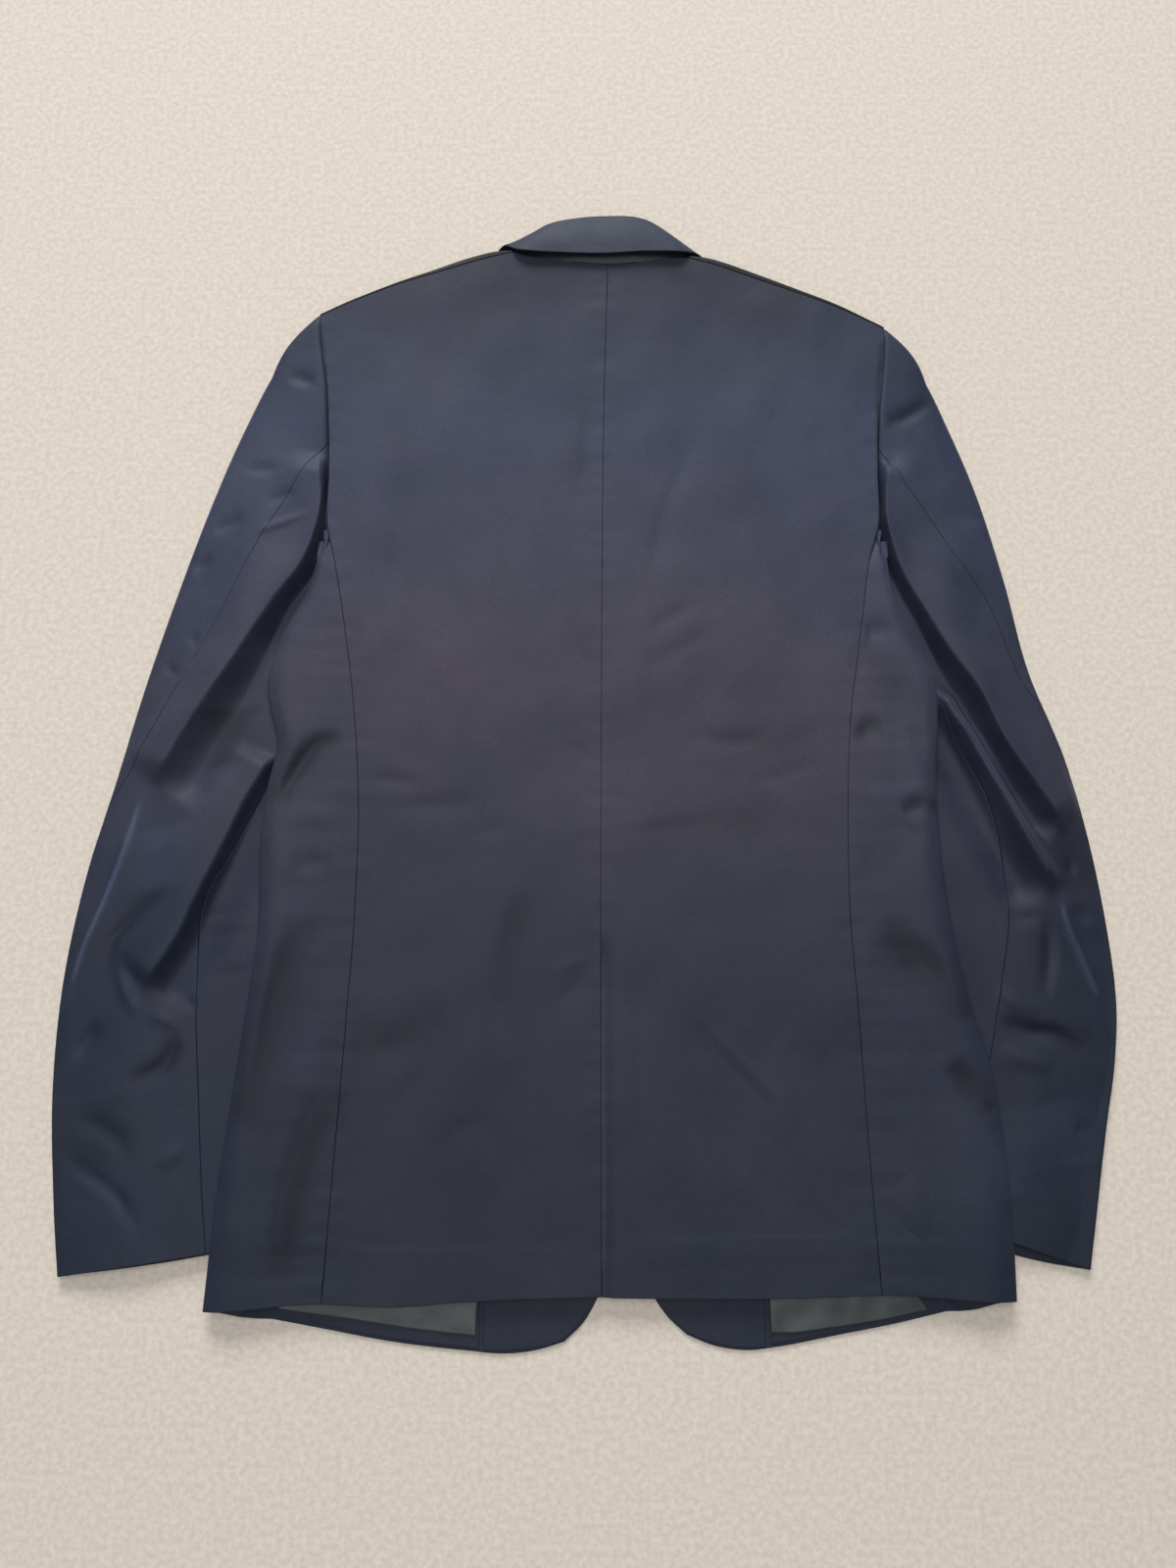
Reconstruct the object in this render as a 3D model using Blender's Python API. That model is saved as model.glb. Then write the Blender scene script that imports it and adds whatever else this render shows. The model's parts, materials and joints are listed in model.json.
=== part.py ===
"""A tailored jacket laid face down: back up, collar away from the hem.

Units in the tables are millimetres. x runs across the garment from the centre back seam, y from the
back hem to the collar, z up from the surface it lies on.
"""

import bpy
import numpy as np

WALL = 1.5  # cloth with its interlining
THIN = 0.9  # lining and turn-ups
GAP = 0.3  # between two pieces at a seam
CENTRE_GAP = 0.25  # from the centre seam to either back
SEAM = (0.5, 1.5)  # trimmed from a sleeve piece at its seams, and added where one crosses a fold
MIDDLE = (8.5, -367.5)  # moves the centre of the outline to the origin
ROUND = 0.06  # share of a sleeve's width that its folded edge takes
SHARP = 0.6  # radians between two faces from which their edge stays sharp
EDGES = {"under": (0.15, 0.85), "top": (0.2, 0.7)}  # where a sleeve piece passes the folded edges


# Each material's colour and roughness. Nothing on it is metal.
LOOKS = {
    "suiting": ((0.022, 0.025, 0.042), 0.75),
    "lining": ((0.05, 0.062, 0.06), 0.45),
    "undercollar": ((0.015, 0.017, 0.022), 0.9),
    "buttons": ((0.03, 0.03, 0.035), 0.35),
}


def table(names, *rows):
    """The rows' columns by name."""
    return {n: np.array(c, float) for n, c in zip(names.split(), zip(*rows))}


# The body from hem to shoulder: the back's width at its side seam and armhole, and its height.
BACK = {
    -1: table(
        "y wide",
        (-4, 177), (90, 172.5), (170, 168.5), (245, 165.5), (311, 165.5), (375, 170.5),
        (445, 180.5), (500, 191), (522, 196), (560, 196.5), (600, 198.5), (632, 201),
        (657, 205.5), (687.5, 208.7),
    ),
    1: table(
        "y wide",
        (1, 177.5), (90, 173.5), (170, 171), (245, 168), (311, 169.5), (375, 174),
        (445, 185), (500, 194), (522, 200.5), (560, 202), (600, 204), (630, 208),
        (652, 210.5), (676.5, 212),
    ),
}
HEIGHT = table(
    "y centre edge",
    (-10, 10.2, 10.2), (60, 10.8, 11), (150, 11.2, 12), (240, 11.6, 13), (330, 12.2, 14),
    (420, 13.5, 15), (510, 15, 16), (600, 17.5, 17.5), (690, 19.5, 19), (750, 20, 18),
)
BACK_HEM = {
    -1: ((0, 0), (-41.5, -1), (-86.5, -3), (-131.5, -6), (-177, -4)),
    1: ((0, 0), (34.5, -1), (103.5, -1), (177.5, 1)),
}
NECK = {
    -1: ((6.5, 730.3), (-8.5, 731.3), (-27, 733.4), (-45.5, 736.2), (-65, 740.6)),
    1: ((6.5, 730.3), (19.5, 730.8), (37.5, 733), (51.5, 735.8), (67, 736)),
}
SHOULDER = {
    -1: ((-65, 740.6), (-94, 733), (-124.5, 722.8), (-155.5, 711.9), (-184.5, 699.9), (-208.7, 687.5)),
    1: ((67, 736), (92.5, 728), (124, 715.8), (155.5, 703.4), (186, 690.8), (212, 676.5)),
}
# How full the front's roll over the shoulder is, from the sleeve to the neck.
SHOULDER_ROLL = {
    -1: table("along full", (0, 0.7), (0.25, 1), (0.5, 1.3), (0.8, 2.5), (0.92, 1.5), (1, 0)),
    1: table("along full", (0, 1), (0.25, 1.6), (0.55, 3), (0.8, 3.2), (0.93, 1.7), (1, 0.2)),
}
# The roll's steps: how far past the seam at the least, how much more where it is full, and the share
# of the height.
ROLL_STEPS = table(
    "least more up",
    (-2, 0, 0.12), (1.2, 1.3, 0.36), (2.2, 2.4, 0.64), (2.4, 2, 0.86), (2.3, 1.1, 0.97),
)
CENTRE = ((0, 0), (0, 219), (0.5, 331), (1.5, 474), (3.5, 628), (6.5, 730.3))
VENT_TOP = 222
VENT_UNDER = 38  # how far the right back runs on under the left
VENT_DROP = 2.6
VENT_REACH = 60  # the right back comes level again this far from the seam

# The side panel wraps round the body's fold: its seam is on the back, edge is the fold, and over is
# where its underside, coming back from the fold at the height low, starts down to the front.
SIDE = {
    -1: table(
        "y edge over high low",
        (-9, 252.5, 230, 11, 5.5), (12, 251, 222, 12, 6.8), (32, 249.5, 209, 13.5, 8.8),
        (68, 246.5, 209, 15.5, 10),
        (116, 241.5, 207, 16, 10.2), (173, 235.5, 205, 16.5, 10.2), (224, 230.5, 204, 16.5, 10.2),
        (304, 231.5, 203, 16.5, 10.2), (332, 228.5, 202, 16.5, 10.2), (356, 224, 201, 16.5, 10.5),
        (402, 233, 200, 16.5, 10.6), (434, 226, 198, 17, 11.4), (475, 207, 193, 17.5, 12.5),
        (509, 200, 189, 17, 12),
    ),
    1: table(
        "y edge over high low",
        (-3, 263.5, 240, 11, 5.5), (14, 263.5, 222, 12, 6.8), (42, 263, 190, 14.5, 10.1),
        (92, 261, 193, 15.5, 10.3),
        (144, 255.5, 201, 16, 10.4), (179, 246, 207, 16.5, 10.4), (224, 237.5, 208, 16.5, 10.3),
        (304, 231, 206, 16.5, 10.2), (338, 231.5, 205, 16.5, 10.2), (373, 235, 204, 16.5, 10.2),
        (409, 234, 204, 16.5, 10.4), (434, 222, 202, 17, 11.4), (467, 209, 197, 17.5, 12.5),
        (509, 205, 193, 17, 12),
    ),
}
SIDE_TOP = 10.0  # the seam reaches this far above the fold's end, under the arm
SIDE_HEM = {-1: (5.0, 5.5), 1: (4.0, 7.0)}  # the hem's rise to the seam and fall to the front
FRONT_IN = 20.0  # the front starts this far inside over

# The fronts lie under the body: hem from the side to the rounded corner, then the edge, the button
# line, the roll line of the lapel, and the shoulder.
FRONT_HEM = {
    -1: ((-210, -14.5), (-178.5, -20), (-132.5, -28), (-87.5, -33), (-59.5, -35), (-41.5, -33), (-23.5, -28)),
    1: ((219, -10), (188.5, -17), (150.5, -24), (111.5, -31), (93.5, -33), (70.5, -30), (54.5, -24)),
}
FRONT_EDGE = {
    -1: ((-23.5, -28), (-10.5, -15.5), (-3.5, -4), (10, 45), (25, 120), (35, 200), (35, 290),
         (35, 290), (-68, 745)),
    1: ((54.5, -24), (42, -13), (34.5, -3), (21, 45), (6, 120), (-4, 200), (-4, 290),
        (-4, 290), (80, 740)),
}
FRONT_ARMHOLE_FROM = 530
FRONT_LAP = 3.9  # the right front's rise where it lies on the left one
LAPEL_LIFT = 2.1
BUTTONS = ((15.5, 278), (15.5, 178))
BUTTON_RADIUS = 10.5
BUTTON_THICK = 2.4
LAPEL = {
    -1: ((33, 300), (8, 330), (-45, 430), (-98, 560), (-122, 640), (-84, 668), (-52, 662)),
    1: ((17, 394), (60, 436), (84, 474), (118, 560), (136, 640), (100, 668), (68, 662)),
}

# The sleeves, from the armhole to the cuff: the silhouette's point and the tucked-under edge's, the
# heights there, and where the two seams run: 0 to 1 across the upper side, 1 to 2 back underneath.
SLEEVE = {
    -1: table(
        "out_x out_y in_x in_y high_out high_in hind fore",
        (211.5, 688.5, 202, 506, 19, 12.5, 0.575, 1.3),
        (240, 652, 203, 488, 18, 11, 0.544, 1.24),
        (262, 600, 204, 462, 17, 9.4, 0.49, 1.16),
        (283.5, 537, 205, 425, 16, 9.2, 0.39, 1.06),
        (303, 470, 206, 380, 15, 9.2, 0.298, 0.94),
        (320.5, 403, 207, 330, 14, 9.2, 0.17, 0.828),
        (337, 330, 208, 280, 13, 9.2, 0.04, 0.693),
        (352, 265, 209, 228, 12, 9.2, -0.08, 0.576),
        (361, 195, 210, 176, 11.5, 9.2, -0.16, 0.607),
        (361.5, 125, 212, 118, 11, 9, -0.16, 0.657),
        (355, 60, 214, 70, 10.5, 8.5, -0.16, 0.687),
        (348, 11, 216, 31, 10, 7, -0.16, 0.72),
    ),
    1: table(
        "out_x out_y in_x in_y high_out high_in hind fore",
        (214.5, 677, 207, 506, 19, 12.5, 0.575, 1.3),
        (240, 645, 208, 488, 18, 11, 0.567, 1.22),
        (258, 600, 209, 462, 17, 9.4, 0.483, 1.1),
        (276, 545, 210, 425, 16, 9.2, 0.36, 0.95),
        (291, 480, 211, 380, 15, 9.2, 0.175, 0.758),
        (303, 415, 212, 330, 14, 9.2, 0.075, 0.608),
        (324, 350, 214, 280, 13, 9.2, -0.04, 0.503),
        (338, 280, 216, 235, 12, 9.2, -0.12, 0.5),
        (345.5, 200, 212, 180, 10.5, 8.8, -0.16, 0.596),
        (342, 150, 206, 138, 9.4, 8.2, -0.16, 0.635),
        (330, 95, 199, 98, 8.6, 7.6, -0.16, 0.65),
        (313.5, 15, 192, 57, 8, 6.5, -0.16, 0.67),
    ),
}
CUFF_SLIP = {-1: 2.0, 1: 8.0}  # how much further the cuff's lower layer reaches

# The large folds: a roll that rises gently over reach and falls off over drop into a dip. Their
# points are in plan, x counted outward from the centre on either side.
FOLDS = {
    -1: (
        (((203, 512), (221, 473), (241, 436), (275, 371), (311, 326)), 7.0, 5.5, 30, 9),
        (((222, 358), (238, 325), (268, 256), (289, 215), (305, 188)), 5.5, 3.5, 34, 9),
    ),
    1: (
        (((206, 512), (220, 474), (244, 431), (271, 361), (309, 297)), 7.0, 5.5, 30, 9),
        (((238, 412), (252, 379), (279, 330), (313, 254), (335, 184)), 4.5, 3.5, 16, 9),
    ),
}
# The body's largest creases: ends in plan, depth and half width of a soft trough.
CREASES = (
    (((-233, 338), (-200, 362), (-166, 385)), 2.2, 13),
    (((-228, 158), (-241, 120), (-252, 85)), 1.8, 10),
    (((-192, 108), (-210, 62), (-226, 20)), 1.6, 10),
    (((176, 366), (205, 352), (231, 335)), 2.0, 11),
    (((205, 277), (216, 262), (232, 236)), 1.5, 8),
)

# The collar from the left notch round the neck to the right one: the roll line, the leaf's edge and
# the neck seam of the stand.
COLLAR = table(
    "roll_x roll_y roll_z leaf_x leaf_y leaf_z neck_x neck_y neck_z tuck_z",
    (-56, 678, 1.2, -92, 672, 0.4, -62, 688, 9.5, 6.6),
    (-60, 709, 1.2, -98, 704, 0.4, -65, 717, 9.5, 6.6),
    (-65, 739, 2.2, -84, 741, 0.8, -64.5, 736, 12, 7.5),
    (-56.5, 756, 11, -73.5, 751.5, 12.5, -55, 741.5, 17, 12.5),
    (-40, 764.5, 20, -60, 739, 25.5, -41, 737.2, 19.6, 17.5),
    (-17, 768.6, 22.5, -26, 736, 26, -19, 733.6, 19.9, 19),
    (6.5, 770, 23, 6.5, 735.5, 26.5, 6.5, 731.3, 20, 19.5),
    (27, 769.6, 22.5, 38, 737.3, 26, 30, 733.2, 19.9, 19),
    (42.5, 765, 20, 63, 737.8, 25, 47.5, 736.5, 19.6, 17.5),
    (59.5, 756, 11.5, 77, 744, 11.5, 56.5, 741, 17, 12),
    (65.5, 741, 2.2, 88, 737, 0.8, 64.5, 732, 12, 7.5),
    (66, 708, 1.2, 106, 702, 0.4, 64.5, 714, 9.5, 6.6),
    (64, 676, 1.2, 104, 670, 0.4, 62, 686, 9.5, 6.6),
)

# What shows of the inside below the back hem: outlines of the strips on the fronts.
LINING = {
    -1: ((-206, -8), (-160, -14), (-115, -20.5), (-80, -24), (-77, 50), (-182, 50), (-202, 8)),
    1: ((108, -22), (124, -22), (142, -19.5), (169, -16), (208, -8.5), (196, 8), (150, 22), (106, 50)),
}
TURN_UP = {
    -1: ((-186, -16), (-132.5, -26), (-88, -31), (-78, -32), (-78, 22), (-186, 26)),
    1: ((108, -29.5), (150, -22), (160, -20), (160, 26), (108, 24)),
}
FACING = {
    -1: ((-75, -33), (-59.5, -33.2), (-42.5, -31.2), (-25, -26.4), (-12.5, -14.6), (-6, -3.5),
         (1, 16), (-75, 16)),
    1: ((104, -30.8), (93.5, -31.2), (71, -28.3), (55.6, -22.5), (43.6, -11.8), (36.6, -2),
        (30, 15), (104, 15)),
}


def smooth(knots, values, at):
    """A smooth line through the values at the knots."""
    knots, values, at = (np.asarray(a, float) for a in (knots, values, at))
    slope = np.gradient(values, knots, axis=0)
    i = np.clip(np.searchsorted(knots, at) - 1, 0, len(knots) - 2)
    step = knots[i + 1] - knots[i]
    t = np.clip((at - knots[i]) / step, 0, 1)
    if values.ndim > 1:
        step, t = step[..., None], t[..., None]
    a, b = values[i], values[i + 1]
    bend = (1 - t) * (slope[i] * step - (b - a)) - t * (slope[i + 1] * step - (b - a))
    return a + t * (b - a) + t * (1 - t) * bend


def ease(t):
    """0 to 1 with level ends."""
    t = np.clip(t, 0, 1)
    return t * t * (3 - 2 * t)


def lengths(line):
    steps = np.linalg.norm(np.diff(line, axis=0), axis=1)
    return np.concatenate([[0], np.cumsum(steps)])


def traced(points):
    """Close points along the smooth curve through the points. A point given twice is a corner."""
    p = np.array(points, float)
    cuts = [i + 1 for i in range(len(p) - 1) if (p[i] == p[i + 1]).all()]
    out = []
    for piece in np.split(p, cuts):
        along = lengths(piece)
        out.append(smooth(along, piece, np.linspace(0, along[-1], 16 * len(piece))))
    return np.concatenate(out)


def path(points, shares):
    """Points at the shares of the curve's length."""
    line = traced(points)
    along = lengths(line)
    at = np.asarray(shares) * along[-1]
    return np.stack([np.interp(at, along, line[:, k]) for k in range(line.shape[1])], axis=-1)


def patch(low, high, left, right, us, vs):
    """The plan of a panel between its four sides: low and high run with u, left and right with v."""
    b, t = path(low, us), path(high, us)
    l, r = path(left, vs), path(right, vs)
    u, v = us[None, :, None], vs[:, None, None]
    flat = (1 - u) * (1 - v) * b[0] + u * (1 - v) * b[-1] + (1 - u) * v * t[0] + u * v * t[-1]
    return (1 - v) * b + v * t + (1 - u) * l[:, None] + u * r[:, None] - flat


def shares(count, *kept):
    """Even shares from 0 to 1, moved so that the kept ones are among them."""
    even = np.linspace(0, 1, count)
    for k in kept:
        even[np.argmin(abs(even - k))] = k
    return even


def between(marks, cells):
    """Shares from mark to mark, each stretch in its own number of cells."""
    parts = [np.linspace(a, b, n + 1)[:-1] for a, b, n in zip(marks, marks[1:], cells)]
    return np.append(np.concatenate(parts), marks[-1])


def near(x, y, points):
    """How far each place is from a curve, on which side of it, and how far along, 0 to 1."""
    line = path(points, np.linspace(0, 1, 60))
    way = np.gradient(line, axis=0)
    way /= np.linalg.norm(way, axis=1)[:, None]
    dx, dy = x[..., None] - line[:, 0], y[..., None] - line[:, 1]
    i = np.argmin(dx**2 + dy**2, axis=-1)
    dx, dy = (np.take_along_axis(a, i[..., None], -1)[..., 0] for a in (dx, dy))
    across = dy * way[i, 0] - dx * way[i, 1]
    return np.hypot(dx, dy), np.sign(across), i / 59


def fold_rise(side, x, y):
    """What the large folds add to a sleeve's upper side."""
    total = np.zeros_like(x)
    for points, rise, dip, reach, drop in FOLDS[side]:
        far, turn, along = near(x * side, y, points)
        down = turn < 0
        strength = ease(along / 0.12) * ease((1 - along) / 0.25)
        outer = rise * (1 - ease(far / reach))
        fall = rise - (rise + dip) * ease(far / drop)
        back = -dip * (1 - ease((far - drop) / 26))
        total += strength * np.where(down, np.where(far < drop, fall, back), outer)
    return total


def crease_drop(x, y):
    """What the body's creases take from its upper side."""
    total = np.zeros_like(x)
    for points, depth, half in CREASES:
        far, _, along = near(x, y, points)
        total += depth * ease(np.sin(np.pi * along)) * (1 - ease(far / half / 1.6))
    return total


def back_edge(side, y):
    return side * smooth(BACK[side]["y"], BACK[side]["wide"], y)


def back_height(side, x, y):
    """The upper face of the back."""
    centre = smooth(HEIGHT["y"], HEIGHT["centre"], y)
    edge = smooth(HEIGHT["y"], HEIGHT["edge"], y)
    share = np.clip(x / back_edge(side, y), 0, 1)
    return centre + (edge - centre) * share**2 - crease_drop(x, y)


def wall(face, thick, way=None):
    """The grid of the face moved in along its normals; way is its direction along a row."""
    normal = np.cross(np.gradient(face, axis=1) if way is None else way, np.gradient(face, axis=0))
    normal /= np.linalg.norm(normal, axis=2)[..., None]
    return face - normal * thick


def material(name, kind):
    """The piece's own material, of one of the kinds in LOOKS."""
    look = bpy.data.materials.new(f"{name}_{kind}")
    look.use_nodes = True
    shader = look.node_tree.nodes["Principled BSDF"]
    colour, roughness = LOOKS[kind]
    shader.inputs["Base Color"].default_value = (*colour, 1)
    shader.inputs["Roughness"].default_value = roughness
    shader.inputs["Metallic"].default_value = 0
    return look


def solid(name, verts, faces, kind):
    verts = (np.array(verts, float) + (*MIDDLE, 0)) * 0.001
    mesh = bpy.data.meshes.new(name)
    mesh.from_pydata([tuple(v) for v in verts], [], faces)
    mesh.materials.append(material(name, kind))
    mesh.shade_smooth()
    mesh.set_sharp_from_angle(angle=SHARP)
    mesh.update()
    obj = bpy.data.objects.new(name, mesh)
    bpy.context.scene.collection.objects.link(obj)
    return obj


def cloth(name, face, way=None, thick=WALL, kind="suiting"):
    """A closed wall with the grid as its outer face."""
    rows, cols = face.shape[:2]
    verts = np.concatenate([face.reshape(-1, 3), wall(face, thick, way).reshape(-1, 3)])
    at = np.arange(rows * cols).reshape(rows, cols)
    under = at + rows * cols
    quads = []
    for i in range(rows - 1):
        for j in range(cols - 1):
            quads.append((at[i, j], at[i, j + 1], at[i + 1, j + 1], at[i + 1, j]))
            quads.append((under[i, j], under[i + 1, j], under[i + 1, j + 1], under[i, j + 1]))
    ring = [*at[0], *at[1:, -1], *at[-1, -2::-1], *at[-2:0:-1, 0]]
    for a, b in zip(ring, ring[1:] + ring[:1]):
        quads.append((a, a + rows * cols, b + rows * cols, b))
    return solid(name, verts, [tuple(int(k) for k in q) for q in quads], kind)


def slab(name, outline, low, high, kind="suiting"):
    """A flat piece cut to the outline, between two heights."""
    line = np.array(outline)
    n = len(line)
    verts = [(*p, low) for p in line] + [(*p, high) for p in line]
    turn = np.sum(line[:, 0] * np.roll(line[:, 1], -1) - np.roll(line[:, 0], -1) * line[:, 1])
    around = list(range(n)) if turn > 0 else list(range(n))[::-1]
    faces = [tuple(i + n for i in around), tuple(around[::-1])]
    for a, b in zip(around, around[1:] + around[:1]):
        faces.append((a, b, b + n, a + n))
    return solid(name, verts, faces, kind)


def stacked(plan, z):
    return np.concatenate([plan, z[..., None]], axis=-1)


def back_face(side, us, vs):
    """The back from its centre seam to the side seam and armhole."""
    inner = np.array(CENTRE, float) + (side * CENTRE_GAP, 0)
    if side > 0:
        under = (-VENT_UNDER, 0), (-VENT_UNDER, VENT_TOP - 24), (-VENT_UNDER, VENT_TOP - 24)
        inner = [*under, (2 * CENTRE_GAP, VENT_TOP), (2 * CENTRE_GAP, VENT_TOP), *inner[2:]]
    hem = [tuple(inner[0]), *BACK_HEM[side][1:]]
    top = [*NECK[side], *SHOULDER[side]]
    top[0] = tuple(inner[-1])
    ys = BACK[side]["y"]
    outer = np.stack([side * BACK[side]["wide"], ys], axis=1)
    plan = patch(hem, top, inner, outer, us, vs)
    x, y = plan[..., 0], plan[..., 1]
    z = back_height(side, x, y)
    if side > 0:
        z -= VENT_DROP * ease((VENT_REACH - x) / 56) * ease((VENT_TOP + 24 - y) / 22)
    face = stacked(plan, z)
    return face if side > 0 else face[:, ::-1]


def corner_share(points, corner):
    """How far along the curve its corner is."""
    line = traced(points)
    along = lengths(line)
    return along[np.argmin(np.linalg.norm(line - corner, axis=1))] / along[-1]


def side_face(side, us, vs):
    """The side panel from its seam on the back, round the fold, to the front."""
    t = SIDE[side]
    y = t["y"][0] + vs * (t["y"][-1] - t["y"][0])
    edge, over, high, low = (smooth(t["y"], t[k], y) for k in ("edge", "over", "high", "low"))
    lift = y + SIDE_TOP * ease((y - 430) / 75)
    seam = abs(back_edge(side, lift)) + 3 * GAP + 1.0 * ease((y - 480) / 25)
    z = back_height(side, side * seam, lift)
    tuck = np.minimum(6, (edge - over) * 0.4)
    rest = over - FRONT_IN
    close = (1 - ease((over - seam - 14) / 16)) * (1 - ease((y - 150) / 50))
    marks = np.stack(
        [
            np.stack([seam, z], -1),
            np.stack([seam + (edge - seam) * 0.5, (z + high) / 2 + 0.8], -1),
            np.stack([edge - tuck, high], -1),
            np.stack([edge, (high + low) / 2], -1),
            np.stack([edge - tuck, low], -1),
            np.stack([over, low * (1 - 0.13 * close) - 0.3], -1),
            np.stack([over - 8, low * 0.4], -1),
            np.stack([rest + 5, 0 * low], -1),
            np.stack([rest, 0 * low], -1),
        ],
        axis=1,
    )
    rise, fall = SIDE_HEM[side]
    rise, fall = (k * (1 - ease((y - t["y"][0]) / 60)) for k in (rise, fall))
    out = []
    for i, row in enumerate(marks):
        along = lengths(row)
        at = np.interp(us, [0, 0.5, 1], [0, along[3], along[-1]])
        line = smooth(along, row, at)
        reach = ease(us * 2)
        place = lift[i] + (y[i] - lift[i]) * reach + rise[i] * (1 - reach) - fall[i] * ease(us * 2 - 1)
        out.append(np.stack([side * line[:, 0], place, np.maximum(line[:, 1], 0)], -1))
    face = np.array(out)
    x, yy = face[..., 0], face[..., 1]
    upper = 1 - ease((us - 0.36) / 0.12)
    face[..., 2] -= crease_drop(x, yy) * upper * ease(us / 0.1)
    return face if side > 0 else face[:, ::-1]


def front_outer(side):
    """The front's edge along the side panel, then up the armhole."""
    t = SIDE[side]
    y = np.linspace(t["y"][0], t["y"][-1], 15)
    x = smooth(t["y"], t["over"], y) - FRONT_IN - 13 * GAP
    low = y - SIDE_HEM[side][1] * (1 - ease((y - t["y"][0]) / 60))
    up = np.linspace(FRONT_ARMHOLE_FROM, BACK[side]["y"][-1], 7)
    wide = smooth(BACK[side]["y"], BACK[side]["wide"], up) - 1
    along = [*zip(side * x, low)]
    return [*along, along[-1], *zip(side * wide, up)]


def front_height(side, x, y):
    """The outer, lower face of a front: flat on the surface, raised over buttons, lapel and lap."""
    roll = np.array([FRONT_EDGE[side][-2], FRONT_EDGE[side][-1]], float)
    share = np.clip((y - roll[0, 1]) / (roll[1, 1] - roll[0, 1]), 0, 1)
    line = roll[0, 0] + share * (roll[1, 0] - roll[0, 0])
    outward = (x - line) * side
    wide = 24 + 92 * np.sin(np.pi * np.clip((y - 280) / 560, 0, 1))
    lift = LAPEL_LIFT * ease((y - 275) / 30) * (1 - ease((y - 668) / 40)) * (1 - ease((outward - wide) / 22))
    collar = LAPEL_LIFT * 1.7 * ease((y - 630) / 26) * (1 - ease((outward - 48) / 22))
    z = np.maximum(lift, collar)
    if side < 0:
        rise = ease((x + 34) / 26) * ease((y - 128) / 26) * (1 - ease((y - 302) / 28))
        return np.maximum(z, (BUTTON_THICK + 2 * GAP) * rise)
    ahead = ease((84 - x) / 30) * ease((y - 44) / 26) * (1 - ease((y - 425) / 60))
    z = z + (FRONT_LAP + 1.0) * ahead
    return z


def front_face(side, us, vs):
    """The front from its side to its edge, closed by the shoulder's roll to the seam."""
    outer = front_outer(side)
    hem = [outer[0], *FRONT_HEM[side][1:]]
    shoulder = SHOULDER[side][::-1]
    edge = [*FRONT_EDGE[side][:-1], shoulder[-1]]
    plan = patch(hem, shoulder, outer, edge, us, vs)
    x, y = plan[..., 0], plan[..., 1]
    face = stacked(plan, front_height(side, x, y))
    top = plan[-1]
    z = back_height(side, top[:, 0], top[:, 1])
    start = face[-1, :, 2]
    full = smooth(SHOULDER_ROLL[side]["along"], SHOULDER_ROLL[side]["full"], us)
    rows = [
        np.stack([top[:, 0], top[:, 1] + least + more * full, start + (z - start) * up], -1)
        for least, more, up in zip(*ROLL_STEPS.values())
    ]
    rows.append(np.stack([top[:, 0], top[:, 1] + 7 * GAP, z], -1))
    face[-1, :, 1] -= 12
    face[-2, :, 1] = np.minimum(face[-2, :, 1], face[-1, :, 1] - 6)
    face = np.concatenate([face, np.array(rows)])
    return face if side > 0 else face[:, ::-1]


def armhole(side, share):
    """The armhole in plan, from the shoulder down, just clear of the body."""
    t = BACK[side]
    y = SLEEVE[side]["out_y"][0] + share * (SLEEVE[side]["in_y"][0] - SLEEVE[side]["out_y"][0])
    wide = smooth(t["y"], t["wide"], y) + 3 * ease((522 - y) / 18) + 1
    return np.stack([side * wide, y], -1)


def ring(side, row, q):
    """Points of a sleeve's section: q from 0 to 1 over its upper side, on to 2 underneath."""
    q = np.mod(q, 2)
    share = np.where(q <= 1, q, 2 - q)
    from_edge = np.minimum(share, 1 - share)
    turn = np.clip(from_edge / ROUND, 0, 1) * np.pi / 2
    inset = np.where(from_edge < ROUND, ROUND * (1 - np.cos(turn)), from_edge)
    share = np.where(share < 0.5, inset, 1 - inset)
    full = np.sin(turn)
    across = row["high_in"] + (row["high_out"] - row["high_in"]) * (1 - ease((share - 0.4) / 0.38))
    out = np.array([side * row["out_x"], row["out_y"]])
    inn = np.array([side * row["in_x"], row["in_y"]])
    plan = out + (inn - out) * share[:, None]
    first = np.array([[side * SLEEVE[side][f"{k}_x"][0], SLEEVE[side][f"{k}_y"][0]] for k in ("out", "in")])
    chord = first[0] + (first[1] - first[0]) * share[:, None]
    plan = plan + (armhole(side, share) - chord) * (1 - ease(row["s"] * 4))
    upper = q <= 1
    z = across * np.where(upper, 1 + full, 1 - full) / 2
    folds = fold_rise(side, plan[:, 0], plan[:, 1]) * full**2 * ease(row["s"] / 0.04)
    z = z + np.where(upper, folds, 0)
    slip = CUFF_SLIP[side] * ease((row["s"] - 0.9) / 0.1) * np.sin(np.pi * share)
    plan[:, 1] -= np.where(upper, 0, slip)
    return np.stack([plan[:, 0], plan[:, 1], np.where(upper, np.maximum(z, 4.2), z)], -1)


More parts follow.
